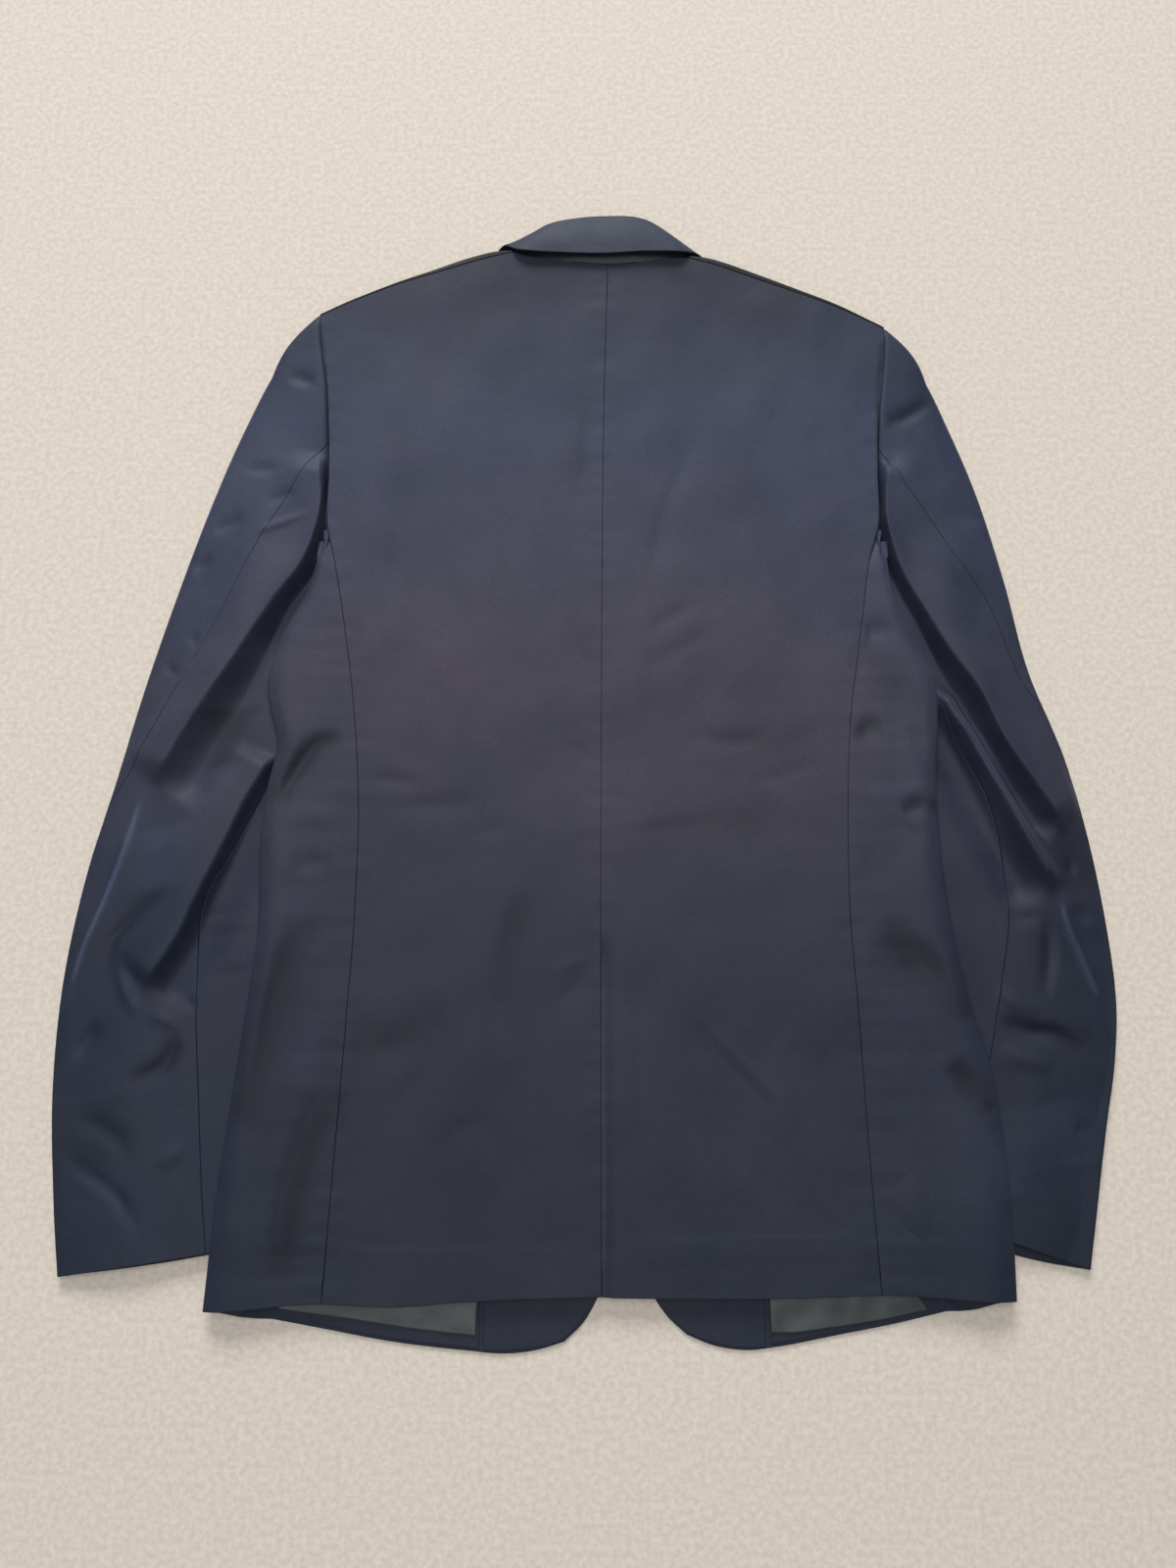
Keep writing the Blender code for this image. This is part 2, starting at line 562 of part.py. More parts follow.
def sleeve_face(side, piece, us, vs):
    """One of a sleeve's two pieces, from seam to seam."""
    t = SLEEVE[side]
    knots = np.linspace(0, 1, len(t["hind"]))
    face, way = [], []
    for s in vs:
        row = {k: float(smooth(knots, t[k], s)) for k in t}
        row["s"] = s
        ends = (row["hind"], row["fore"]) if piece == "under" else (row["fore"], 2 + row["hind"])
        q = np.linspace(*ends, 240)
        line = ring(side, row, q)
        along = lengths(line)
        near_edge = 0 if piece == "under" else 1
        folds = max(near_edge, ends[0] + 0.06), min(near_edge + 1, ends[1] - 0.1)
        marks = np.interp((ends[0], *folds, ends[1]), q, along)
        at = np.interp(us, (0, *EDGES[piece], 1), marks)
        low, high = (SEAM[0] + SEAM[1] * (1 - ease(abs(k - round(k)) / 0.25)) for k in ends)
        at = np.clip(at, low, along[-1] - high)
        turn = np.gradient(line, along, axis=0)
        face.append(np.stack([np.interp(at, along, line[:, k]) for k in range(3)], -1))
        way.append(np.stack([np.interp(at, along, turn[:, k]) for k in range(3)], -1))
    face, way = np.array(face), np.array(way)
    return (face, way) if side > 0 else (face[:, ::-1], -way[:, ::-1])


def collar_face(part, us, vs):
    """The collar's leaf or its stand, along the neck with u and from the edge to the roll with v."""
    knots = np.linspace(0, 1, len(COLLAR["roll_x"]))
    roll, leaf, neck = (
        smooth(knots, np.stack([COLLAR[f"{k}_{a}"] for a in "xyz"], -1), us)
        for k in ("roll", "leaf", "neck")
    )
    v = vs[:, None, None]
    if part == "leaf":
        face = leaf + (roll - leaf) * v
        face[..., 2] += 1.2 * np.sin(np.pi * vs)[:, None] * ease((roll[:, 2] - 10) / 10)
        return face
    inside = roll - (0, 2.5, 0)
    inside[:, 2] = smooth(knots, COLLAR["tuck_z"], us)
    return neck + (inside - neck) * v


def button(name, x, y):
    """A front button, lying outside the left front."""
    turn = np.linspace(0, 2 * np.pi, 13)[:-1]
    rings = ((BUTTON_RADIUS - 0.6, 0), (BUTTON_RADIUS, 0.6), (BUTTON_RADIUS, BUTTON_THICK - 0.6),
             (BUTTON_RADIUS - 0.6, BUTTON_THICK))
    verts, faces = [(x, y, 0)], []
    for r, z in rings:
        verts += [(x + r * np.cos(a), y + r * np.sin(a), z) for a in turn]
    verts.append((x, y, BUTTON_THICK))
    last = len(verts) - 1
    for j in range(12):
        k = (j + 1) % 12
        faces.append((0, 1 + k, 1 + j))
        faces.append((last, last - 12 + j, last - 12 + k))
        for i in range(3):
            a, b = 1 + 12 * i, 13 + 12 * i
            faces.append((a + j, a + k, b + k, b + j))
    return solid(name, verts, faces, "buttons")


def main():
    for obj in list(bpy.data.objects):
        bpy.data.objects.remove(obj)
    for side, name in ((-1, "left"), (1, "right")):
        top = [*NECK[side], *SHOULDER[side]]
        neck = corner_share(top, NECK[side][-1])
        rows, cols = shares(22), shares(9, neck)
        if side > 0:
            inner = ((-VENT_UNDER, 0), (-VENT_UNDER, VENT_TOP - 24), (2 * CENTRE_GAP, VENT_TOP), *CENTRE[2:])
            marks = lengths(np.array(inner, float))
            rows = shares(22, *(marks[1:3] / marks[-1]))
            cols = shares(11, VENT_UNDER / 215, (VENT_UNDER + VENT_REACH) / 215, neck)
        cloth(f"back_{name}", back_face(side, cols, rows))
        cloth(f"side_{name}", side_face(side, np.linspace(0, 1, 11), np.linspace(0, 1, 15)))
        outer = front_outer(side)
        corner = next(a for a, b in zip(outer, outer[1:]) if a == b)
        rows = shares(21, corner_share(outer, corner))
        cloth(f"front_{name}", front_face(side, np.linspace(0, 1, 10), rows))
        for piece, cells in (("under", (2, 7, 2)), ("top", (3, 6, 4))):
            us = between((0, *EDGES[piece], 1), cells)
            rows = between((0, 0.1, 0.34, 1), (2, 9, 13))
            cloth(f"{piece}_sleeve_{name}", *sleeve_face(side, piece, us, rows))
        slab(f"turn_up_{name}", TURN_UP[side], WALL + GAP, WALL + GAP + THIN)
        lining_low = WALL + THIN + 2 * GAP
        slab(f"lining_{name}", LINING[side], lining_low, lining_low + THIN, "lining")
        slab(f"facing_{name}", FACING[side], WALL + GAP, WALL + GAP + THIN)
        slab(f"lapel_{name}", LAPEL[side], 0, WALL)
    cloth("collar_leaf", collar_face("leaf", np.linspace(0, 1, 27), np.linspace(0, 1, 4)))
    stand = collar_face("stand", np.linspace(0.05, 0.95, 25), np.linspace(0, 1, 3))
    cloth("collar_stand", stand, kind="undercollar")
    for i, (x, y) in enumerate(BUTTONS):
        button(f"button_{i + 1}", x, y)


main()
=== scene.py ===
"""The looks of a tailored jacket laid face down: fine shells on the cloth's form, their creases,
materials, a pale floor, soft light and the camera.

Lengths are in millimetres up to the mesh, which is in metres. x runs across the garment from the
centre back seam, y from the back hem to the collar, z up from the surface it lies on. A side is -1 for
the left of the picture and 1 for the right.
"""

import json

import bpy
import numpy as np
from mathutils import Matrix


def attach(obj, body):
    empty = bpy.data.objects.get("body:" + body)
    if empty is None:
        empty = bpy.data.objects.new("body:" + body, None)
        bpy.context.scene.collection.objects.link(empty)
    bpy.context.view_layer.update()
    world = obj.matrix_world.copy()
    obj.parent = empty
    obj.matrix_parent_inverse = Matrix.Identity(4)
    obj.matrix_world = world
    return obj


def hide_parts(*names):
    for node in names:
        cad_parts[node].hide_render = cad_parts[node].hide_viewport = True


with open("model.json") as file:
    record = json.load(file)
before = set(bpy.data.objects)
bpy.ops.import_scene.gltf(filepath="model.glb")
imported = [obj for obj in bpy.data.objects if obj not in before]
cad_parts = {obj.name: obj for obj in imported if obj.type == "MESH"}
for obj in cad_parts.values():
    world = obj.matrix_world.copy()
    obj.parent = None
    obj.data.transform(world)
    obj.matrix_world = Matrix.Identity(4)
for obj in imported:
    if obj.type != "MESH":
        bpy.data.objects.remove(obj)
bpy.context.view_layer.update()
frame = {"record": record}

WALL = 1.4  # cloth with its interlining
THIN = 0.8  # lining, turn-ups and facings
GAP = 0.15  # between two pieces at a seam
EDGE = 0.35  # radius of a piece's rolled edge
MIDDLE = (8.5, -367.5)  # moves the centre of the outline to the origin
FINE = (0.0, 0.25, 0.6, 1.1, 2.0, 3.4)  # the first rows and columns, in from a piece's edge
CURVE_POINTS = 60  # points of a crease's line
PUCKER = 0.16  # how high a seam puckers
PUCKER_REACH = 9.0  # how far from the seam
WAVES = 14  # broad waves that make up the cloth's unevenness


def table(names, *rows):
    """The rows' columns by name."""
    return {n: np.array(c, float) for n, c in zip(names.split(), zip(*rows))}


# The back's width at its side seam and armhole, from hem to shoulder, and its height.
BACK = {
    -1: table(
        "y wide",
        (-4, 177), (90, 172.5), (170, 168.5), (245, 165.5), (311, 165.5), (375, 170.5), (445, 180.5),
        (500, 191), (522, 196), (560, 196.5), (600, 198.5), (632, 201), (657, 205.5), (687.5, 208.7),
    ),
    1: table(
        "y wide",
        (1, 177.5), (90, 173.5), (170, 171), (245, 168), (311, 169.5), (375, 174), (445, 185), (500, 194),
        (522, 200.5), (560, 202), (600, 204), (630, 208), (652, 210.5), (676.5, 212),
    ),
}
HEIGHT = table(
    "y centre edge",
    (-10, 10.2, 10.2), (60, 10.8, 11), (150, 11.2, 12), (240, 11.6, 13), (330, 12.2, 14),
    (420, 13.5, 15), (510, 15, 16), (600, 17.5, 17.5), (690, 19.5, 19), (750, 20, 18),
)
BACK_HEM = {
    -1: ((0, 0), (-41.5, -1), (-86.5, -3), (-131.5, -6), (-177, -4)),
    1: ((0, 0), (34.5, -1), (103.5, -1), (177.5, 1)),
}
NECK = {
    -1: ((6.5, 730.3), (-8.5, 731.3), (-27, 733.4), (-45.5, 736.2), (-65, 740.6)),
    1: ((6.5, 730.3), (19.5, 730.8), (37.5, 733), (51.5, 735.8), (67, 736)),
}
SHOULDER = {
    -1: ((-65, 740.6), (-94, 733), (-124.5, 722.8), (-155.5, 711.9), (-184.5, 699.9), (-208.7, 687.5)),
    1: ((67, 736), (92.5, 728), (124, 715.8), (155.5, 703.4), (186, 690.8), (212, 676.5)),
}
# How full the front's roll over the shoulder seam is, from the sleeve to the neck.
SHOULDER_ROLL = {
    -1: table("along full", (0, 0), (0.25, 0.1), (0.5, 0.7), (0.8, 1.6), (0.92, 1.3), (1, 0)),
    1: table("along full", (0, 0.1), (0.25, 0.6), (0.55, 1.4), (0.8, 1.7), (0.93, 1.3), (1, 0.2)),
}
# The roll's steps: how far past the seam at the least, how much more where it is full, and the share
# of the height.
ROLL_STEPS = table(
    "least more up",
    (-8, 0, 0.01), (-2, 0, 0.12), (1.2, 1.3, 0.36), (2.2, 2.4, 0.64), (2.2, 2.2, 0.86), (1.7, 1.4, 0.97),
    (0.9, 0.5, 1), (0.15, 0, 1),
)
ROLL_ROWS = 26
TOP_ROWS = 8  # rows left out at the front's top, where the roll takes over
TOP_SHORT = 9.0  # the flat part ends this far below the shoulder seam
TOP_STEP = 0.4  # spacing of the rows that would pass it
CENTRE = ((0, 0), (0, 219), (0.5, 331), (1.5, 474), (3.5, 628), (6.5, 730.3))
VENT_TOP = 222
VENT_UNDER = 38  # how far the right back runs on under the left
VENT_SLANT = 24  # how much lower its top is at the far end
VENT_DROP = 2.6
VENT_REACH = 10  # the right back comes level again this far from the seam
VENT_ABOVE = (4, 12)  # and this far above the vent's top, over this height

# The side panel wraps round the body's fold: its seam is on the back, edge is the fold, and over is
# where its underside, coming back from the fold at the height low, starts down to the front.
SIDE = {
    -1: table(
        "y edge over high low",
        (-9, 252.5, 230, 11, 5.5), (12, 251, 222, 12, 6.8), (32, 249.5, 209, 13.5, 8.8),
        (68, 246.5, 209, 15.5, 10), (116, 241.5, 207, 16, 10.2), (173, 235.5, 205, 16.5, 10.2),
        (224, 230.5, 204, 16.5, 10.2), (304, 231.5, 203, 16.5, 10.2), (332, 228.5, 202, 16.5, 10.2),
        (356, 224, 201, 16.5, 10.5), (402, 233, 200, 16.5, 10.6), (434, 226, 198, 17, 11.4),
        (475, 207, 193, 17.5, 12.5), (509, 200, 189, 17, 12),
    ),
    1: table(
        "y edge over high low",
        (-3, 263.5, 240, 11, 5.5), (14, 263.5, 222, 12, 6.8), (42, 263, 190, 14.5, 10.1),
        (92, 261, 193, 15.5, 10.3), (144, 255.5, 201, 16, 10.4), (179, 246, 207, 16.5, 10.4),
        (224, 237.5, 208, 16.5, 10.3), (304, 231, 206, 16.5, 10.2), (338, 231.5, 205, 16.5, 10.2),
        (373, 235, 204, 16.5, 10.2), (409, 234, 204, 16.5, 10.4), (434, 222, 202, 17, 11.4),
        (467, 209, 197, 17.5, 12.5), (509, 205, 193, 17, 12),
    ),
}

SIDE_TOP = 10.0  # the seam reaches this far above the fold's end, under the arm
SIDE_TIP = (490, 22, 3.0)  # the panel's top sinks from this height, over this length, by this much
SIDE_HEM = {-1: (5.0, 5.5), 1: (4.0, 7.0)}  # the hem's rise to the seam and fall to the front
FRONT_IN = 20.0  # the front starts this far inside over

FRONT_HEM = {
    -1: ((-210, -14.5), (-178.5, -20), (-132.5, -28), (-87.5, -33), (-59.5, -35), (-41.5, -33),
         (-23.5, -28)),
    1: ((219, -10), (188.5, -17), (150.5, -24), (111.5, -31), (93.5, -33), (70.5, -30), (54.5, -24)),
}
FRONT_EDGE = {
    -1: ((-23.5, -28), (-10.5, -15.5), (-3.5, -4), (10, 45), (25, 120), (35, 200), (35, 290),
         (35, 290), (-68, 745)),
    1: ((54.5, -24), (42, -13), (34.5, -3), (21, 45), (6, 120), (-4, 200), (-4, 290),
        (-4, 290), (80, 740)),
}
FRONT_ARMHOLE_FROM = 530
FRONT_LAP = 4.9  # the right front's rise where it lies on the left one
LAPEL_LIFT = 2.1  # the room that a front leaves for the lapel below it
COLLAR_LIFT = 3.57  # and for the collar's end
LAPEL_WIDE = (24, 92)  # the room's width past the roll line at both ends, and how much more half way
COLLAR_WIDE = 48
# Where that room, the room for the buttons and the lap start and end: y, and over what length.
LAPEL_SPAN = (275, 30, 668, 40)
COLLAR_SPAN = (630, 26)
BUTTON_SPAN = (128, 26, 302, 28)
LAP_SPAN = (44, 26, 425, 60)
BUTTONS = ((15.5, 278), (15.5, 178))
BUTTON_RADIUS = 10.5
BUTTON_THICK = 2.4

# The sleeves, from the armhole to the cuff: the silhouette's point and the tucked-under edge's, the
# heights there, and where the two seams run: 0 to 1 across the upper side, 1 to 2 back underneath.
# x is counted outward on either side.
SLEEVE = {
    -1: table(
        "out_x out_y in_x in_y high_out high_in hind fore",
        (211.5, 688.5, 202, 506, 19, 12.5, 0.575, 1.3), (240, 652, 203, 488, 18, 11, 0.544, 1.24),
        (262, 600, 204, 462, 17, 9.4, 0.49, 1.16), (283.5, 537, 205, 425, 16, 9.2, 0.39, 1.06),
        (303, 470, 206, 380, 15, 9.2, 0.298, 0.94), (320.5, 403, 207, 330, 14, 9.2, 0.17, 0.828),
        (337, 330, 208, 280, 13, 9.2, 0.04, 0.693), (352, 265, 209, 228, 12, 9.2, -0.08, 0.576),
        (361, 195, 210, 176, 11.5, 9.2, -0.16, 0.607), (361.5, 125, 212, 118, 11, 9, -0.16, 0.657),
        (355, 60, 214, 70, 10.5, 8.5, -0.16, 0.687), (348, 11, 216, 31, 10, 7, -0.16, 0.72),
    ),
    1: table(
        "out_x out_y in_x in_y high_out high_in hind fore",
        (214.5, 677, 207, 506, 19, 12.5, 0.575, 1.3), (240, 645, 208, 488, 18, 11, 0.567, 1.22),
        (258, 600, 209, 462, 17, 9.4, 0.483, 1.1), (276, 545, 210, 425, 16, 9.2, 0.36, 0.95),
        (291, 480, 211, 380, 15, 9.2, 0.175, 0.758), (303, 415, 212, 330, 14, 9.2, 0.075, 0.608),
        (324, 350, 214, 280, 13, 9.2, -0.04, 0.503), (338, 280, 216, 235, 12, 9.2, -0.12, 0.5),
        (345.5, 200, 212, 180, 10.5, 8.8, -0.16, 0.596), (342, 150, 206, 138, 9.4, 8.2, -0.16, 0.635),
        (330, 95, 199, 98, 8.6, 7.6, -0.16, 0.65), (313.5, 15, 192, 57, 8, 6.5, -0.16, 0.67),
    ),
}

SLEEVE_SLOPE = {-1: 4.5, 1: 6.0}  # how much lower the upper side lies along the silhouette
SLEEVE_ROUND = 0.06  # share of a sleeve's width that its folded edge takes
SLEEVE_SEAM = 0.12  # trimmed from a sleeve piece at its seams
SLEEVE_EDGES = {"under": (0.15, 0.85), "top": (0.2, 0.7)}  # where a piece passes the folded edges
SLEEVE_CELLS = {"under": (8, 9, 44, 9, 6), "top": (8, 9, 34, 9, 20)}  # columns before, round and after
LOWEST = 4.2  # the sleeve's upper side stays this far above the surface
HEAD_BULGE = (3.0, 5.5)  # how far the silhouette rounds out just below the armhole
HEAD_SHARE = 9  # over the first ninth of the sleeve
ARMHOLE_SHARE = 4  # the sleeve follows the armhole's curve over its first quarter
ARMHOLE_SINK = 1.6  # how far the sleeve's head sinks beside the armhole seam
SINK_SHARE = 0.004  # over this share of the sleeve
CUFF_SLIP = {-1: 2.0, 1: 8.0}  # how much further the cuff's lower layer reaches

# The large folds: points in plan as x, y, x, y, then high, dip, reach, first, last, back and end. A
# fold rises gently over reach to high, falls off into the dip over the length first where it starts
# and last where it ends, and comes back over back. It dies away over the share end of its length.
FOLDS = {
    -1: (
        (198, 580, 200, 548, 204, 519, 213, 493, 230, 467, 244, 442, 258, 417, 273, 393, 288, 368,
         301, 344, 310, 330, 9.5, 8.0, 40, 4, 24, 20, 0.07),
        (226, 354, 231, 344, 243, 321, 253, 297, 263, 274, 273, 251, 282, 229, 295, 207, 306, 193,
         8.0, 5.0, 44, 6, 14, 24, 0.08),
    ),
    1: (
        (203, 580, 204, 548, 207, 516, 216, 485, 231, 454, 247, 422, 263, 397, 279, 361, 300, 329,
         320, 297, 9.5, 8.5, 40, 4, 15, 12, 0.07),
        (237, 400, 240, 388, 256, 361, 272, 328, 290, 290, 310, 256, 11.0, 7.5, 14, 12, 20, 22, 0.12),
    ),
}
# Smaller creases: points in plan, height above or below the cloth, and half width on the left and on
# the right of the line. A sleeve's x is counted outward, the body's isn't.
SLEEVE_CREASES = {
    -1: (
        (316, 326, 321, 302, 330, 270, 337, 249, 348, 220, 356, 187, 1.2, 3, 3),
        (292, 258, 309, 245, 326, 227, 334, 204, -3.2, 6, 6), (324, 213, 317, 193, 306, 174, 2.4, 5, 5),
        (278, 163, 288, 143, 311, 131, -3.5, 7, 6), (302, 178, 277, 167, 1.8, 5, 5),
        (279, 185, 268, 180, -1.9, 4, 4), (332, 172, 347, 146, -2.7, 7, 7),
        (345, 109, 322, 101, 303, 84, -2.0, 8, 8), (350, 86, 335, 76, 314, 62, 295, 37, -1.9, 5, 6),
        (288, 78, 269, 93, 1.4, 6, 6), (251, 514, 208, 530, 1.9, 4, 4), (231, 639, 208, 634, -2.7, 5, 5),
        (260, 565, 233, 565, -2.0, 5, 6), (243, 539, 218, 546, -1.8, 5, 5),
        (279, 518, 256, 528, -2.3, 6, 6), (292, 487, 278, 499, -1.9, 5, 5),
        (308, 418, 293, 406, -2.0, 4, 5), (290, 442, 283, 427, -1.4, 4, 4),
        (272, 242, 253, 243, 234, 249, -1.1, 3, 4), (270, 224, 234, 234, -1.2, 4, 3),
        (267, 197, 231, 207, -0.9, 4, 4),
    ),
    1: (
        (311, 253, 315, 235, 323, 213, 334, 184, 1.8, 3, 3), (207, 600, 225, 607, 246, 620, -3.1, 6, 6),
        (206, 573, 215, 566, -1.8, 4, 4), (246, 534, 281, 525, -1.8, 8, 8),
        (273, 241, 298, 239, -2.0, 5, 5), (300, 240, 301, 213, 295, 187, -2.7, 6, 6),
        (319, 281, 322, 266, -2.0, 5, 5), (315, 245, 334, 239, -2.4, 5, 5),
        (263, 193, 291, 174, 2.3, 7, 7), (263, 173, 282, 166, 302, 163, 323, 150, -4.1, 6, 6),
        (262, 152, 298, 141, 2.2, 8, 8), (309, 103, 329, 94, -2.7, 5, 5),
    ),
}
BODY_CREASES = (
    (-176, 364, -197, 358, -210, 340, -224, 312, -4.1, 8, 7),
    (-223, 301, -197, 310, -169, 297, 1.6, 11, 11), (-211, 274, -180, 277, -1.9, 7, 7),
    (-175, 240, -200, 227, -216, 185, -224, 141, -234, 93, -3.2, 13, 13),
    (-163, 124, -182, 109, -195, 70, -201, 37, -205, 1, -3.5, 12, 12), (179, 437, 209, 444, -1.7, 11, 11),
    (173, 369, 198, 371, -2.2, 8, 8), (215, 375, 229, 346, -1.8, 8, 8), (204, 314, 232, 318, -3.1, 8, 8),
    (199, 309, 221, 287, -1.4, 7, 7), (172, 276, 204, 267, -1.4, 11, 11),
    (184, 235, 223, 200, 244, 167, -3.2, 14, 14), (229, 148, 240, 130, 253, 111, -2.9, 10, 10),
    (-154, 531, -157, 489, -163, 441, -1.4, 9, 9), (-8, 624, -11, 548, -0.8, 9, 6),
    (72, 589, 48, 535, 38, 489, 33, 465, -0.9, 6, 6), (26, 436, 75, 468, -1.1, 8, 8),
    (31, 414, 82, 443, -0.8, 7, 7), (-25, 361, 0, 345, -0.9, 5, 5),
    (56, 368, 100, 362, 128, 377, -1.2, 7, 7), (-167, 337, -120, 331, -1.4, 6, 6),
    (-150, 314, -82, 318, -1.0, 7, 7), (99, 331, 161, 347, -0.8, 6, 6), (-102, 293, -55, 304, -0.7, 6, 6),
    (18, 296, 72, 304, -0.7, 6, 6), (-50, 264, -62, 218, -72, 147, -1.1, 10, 10),
    (-155, 146, -117, 166, -1.2, 11, 11), (-109, 167, -127, 140, -149, 121, 0.8, 9, 9),
    (-36, 203, -5, 214, 1.0, 6, 6), (-29, 181, -10, 201, -1.0, 6, 6),
    (25, 210, 25, 129, 24, 56, -0.6, 5, 5), (56, 178, 85, 142, 119, 109, -1.4, 6, 6),
    (89, 81, 105, 49, 0.8, 6, 6), (-116, 83, -78, 104, -59, 72, -1.0, 12, 12),
)

# Painted light and shade: pressed creases and hem ridges lighter as a painted highlight, creases, folds
# and seams darker as painted shade, and patches of painted light and shade on the nap: points in plan, how
# much lighter the cloth is there, and half width.
PAINTED_LIGHT = (
    (-316, 326, -321, 302, -330, 270, -337, 249, -348, 220, -356, 187, 1.6, 1.6),
    (311, 253, 315, 235, 323, 213, 334, 184, 1.4, 1.6), (2, 214, 1.5, 150, 1.5, 70, 1.5, 4, 0.9, 1.4),
    (17, 37, 60, 36, 120, 37, 173, 39, 0.3, 1.6), (17, 22, 60, 21, 120, 22, 173, 24, -0.15, 2.2),
    (-170, 30, -120, 29, -60, 30, -10, 31, 0.3, 1.6),
    (-176, 364, -197, 358, -211, 340, -224, 313, -0.5, 9), (-224, 298, -197, 302, -174, 291, 0.15, 12),
    (-175, 240, -200, 227, -216, 185, -224, 141, -234, 93, -0.42, 10),
    (-177, 202, -188, 167, -197, 124, 0.14, 9),
    (-163, 124, -182, 109, -195, 70, -201, 37, -206, 1, -0.45, 9),
    (-293, 258, -310, 245, -326, 227, -335, 204, -0.25, 6), (-278, 163, -289, 143, -312, 131, -0.35, 6),
    (-297, 279, -276, 316, -247, 364, 0.16, 14), (184, 236, 223, 200, 244, 167, -0.4, 11),
    (229, 148, 241, 130, 253, 111, -0.5, 8), (204, 314, 232, 318, -0.5, 5), (173, 369, 198, 371, -0.3, 6),
    (180, 327, 203, 328, 224, 334, 0.2, 7), (263, 174, 283, 166, 303, 163, 324, 150, -0.4, 5),
    (207, 600, 226, 608, 246, 620, -0.35, 5), (243, 395, 261, 361, 279, 326, 297, 293, 0.55, 6),
    (50, 718, 74, 721, -0.3, 6), (-172, 158, -133, 160, -100, 185, -0.2, 18),
    (-82, 115, -86, 78, -64, 62, -0.14, 20), (-53, 264, -61, 218, -71, 174, -0.2, 9),
    (124, 163, 151, 147, -0.18, 20), (57, 174, 90, 141, 116, 115, -0.16, 4),
    (68, 174, 98, 144, 122, 120, 0.12, 4), (99, 73, 111, 44, 0.14, 4), (-198, 352, -187, 364, -0.1, 6),
    (66, 367, 119, 364, 155, 374, -0.18, 8), (-132, 322, -86, 325, -0.1, 6),
    (-14, 658, -16, 555, -0.12, 10), (-209, 690, -202, 632, -199, 560, -197, 510, -0.6, 1.7),
    (212, 680, 206, 632, 203, 560, 202, 510, -0.6, 1.7), (-240, 430, -215, 470, -200, 500, -0.3, 10),
    (-165, 440, -195, 445, -0.15, 12), (225, 380, 205, 410, 180, 440, -0.15, 10),
    (-165, 300, -100, 290, -30, 300, -0.1, 10), (20, 300, 90, 310, 165, 300, -0.1, 10),
    (-120, 700, -60, 715, -0.12, 16), (90, 690, 150, 680, -0.12, 16), (-150, 620, -140, 520, -0.12, 14),
    (120, 600, 90, 520, -0.1, 14),
)
# Patches of painted light and shade on the nap, like the table above's, each a short stroke of one shape.
PAINTED_SPOTS = (
    (-261, 390, -0.4, 24), (316, 304, -0.38, 20), (-308, 304, 0.35, 20), (301, 124, 0.42, 26),
    (260, 105, 0.28, 20), (-334, 124, -0.22, 24), (-207, 263, 0.22, 22), (-12, 347, 0.12, 50),
    (232, 647, -0.15, 20),
)
SPOT = (4, -24, 7, -48)  # how a spot's stroke runs on from its first point

# The collar from the left notch round the neck to the right one: the roll line, the leaf's edge, the
# neck seam of the stand, and the height where the roll ends inside.
COLLAR = table(
    "roll_x roll_y roll_z leaf_x leaf_y leaf_z neck_x neck_y neck_z tuck_z",
    (-56, 678, 1.2, -92, 672, 0.4, -62, 688, 9.5, 6.6),
    (-60, 709, 1.2, -98, 704, 0.4, -65, 717, 9.5, 6.6),
    (-65, 739, 2.2, -84, 741, 0.8, -64.5, 736, 12, 7.5),
    (-56.5, 756, 11, -73.5, 751.5, 12.5, -55, 741.5, 17, 12.5),
    (-40, 764.5, 20, -60, 739, 25.5, -41, 737.2, 19.6, 17.5),
    (-17, 768.6, 22.5, -26, 736, 26, -19, 733.6, 19.9, 19),
    (6.5, 770, 23, 6.5, 735.5, 26.5, 6.5, 731.3, 20, 19.5),
    (27, 769.6, 22.5, 38, 737.3, 26, 30, 733.2, 19.9, 19),
    (42.5, 765, 20, 63, 737.8, 25, 47.5, 736.5, 19.6, 17.5),
    (59.5, 756, 11.5, 77, 744, 11.5, 56.5, 741, 17, 12),
    (65.5, 741, 2.2, 88, 737, 0.8, 64.5, 732, 12, 7.5),
    (66, 708, 1.2, 106, 702, 0.4, 64.5, 714, 9.5, 6.6),
    (64, 676, 1.2, 104, 670, 0.4, 62, 686, 9.5, 6.6),
)

ROLL_OUT = 2.2  # how far the collar's roll stands out past its line

# What shows of the inside below the back hem. Each strip has its lower and its upper edge, left to
# right.
LINING = {
    -1: (((-206, -8), (-160, -14), (-115, -20.5), (-80, -24)), ((-202, 8), (-160, 40), (-77, 50))),
    1: (((108, -22), (124, -22), (142, -19.5), (169, -16), (208, -8.5)), ((106, 50), (150, 22), (196, 8))),
}
TURN_UP = {
    -1: (((-186, -16), (-132.5, -26), (-88, -31), (-78, -32)), ((-186, 26), (-78, 22))),
    1: (((108, -29.5), (150, -22), (160, -20)), ((108, 24), (160, 26))),
}
FACING = {
    -1: (((-75, -33), (-59.5, -33.2), (-42.5, -31.2), (-25, -26.4), (-12.5, -14.6), (-6, -3.5)),
         ((-75, 16), (-40, 16), (1, 16))),
    1: (((36.6, -2), (43.6, -11.8), (55.6, -22.5), (71, -28.3), (93.5, -31.2), (104, -30.8)),
        ((30, 15), (70, 15), (104, 15))),
}
# A lapel's outer edge from its tip at the top button, its roll line and its notch.
LAPEL = {
    -1: (((30, 302), (8, 330), (-45, 430), (-98, 560), (-122, 640)), ((32, 303), (-10, 482), (-52, 662)),
         (-84, 668)),
    1: (((17, 394), (60, 436), (84, 474), (118, 560), (136, 640)), ((15, 397), (42, 530), (68, 662)),
        (100, 668)),
}


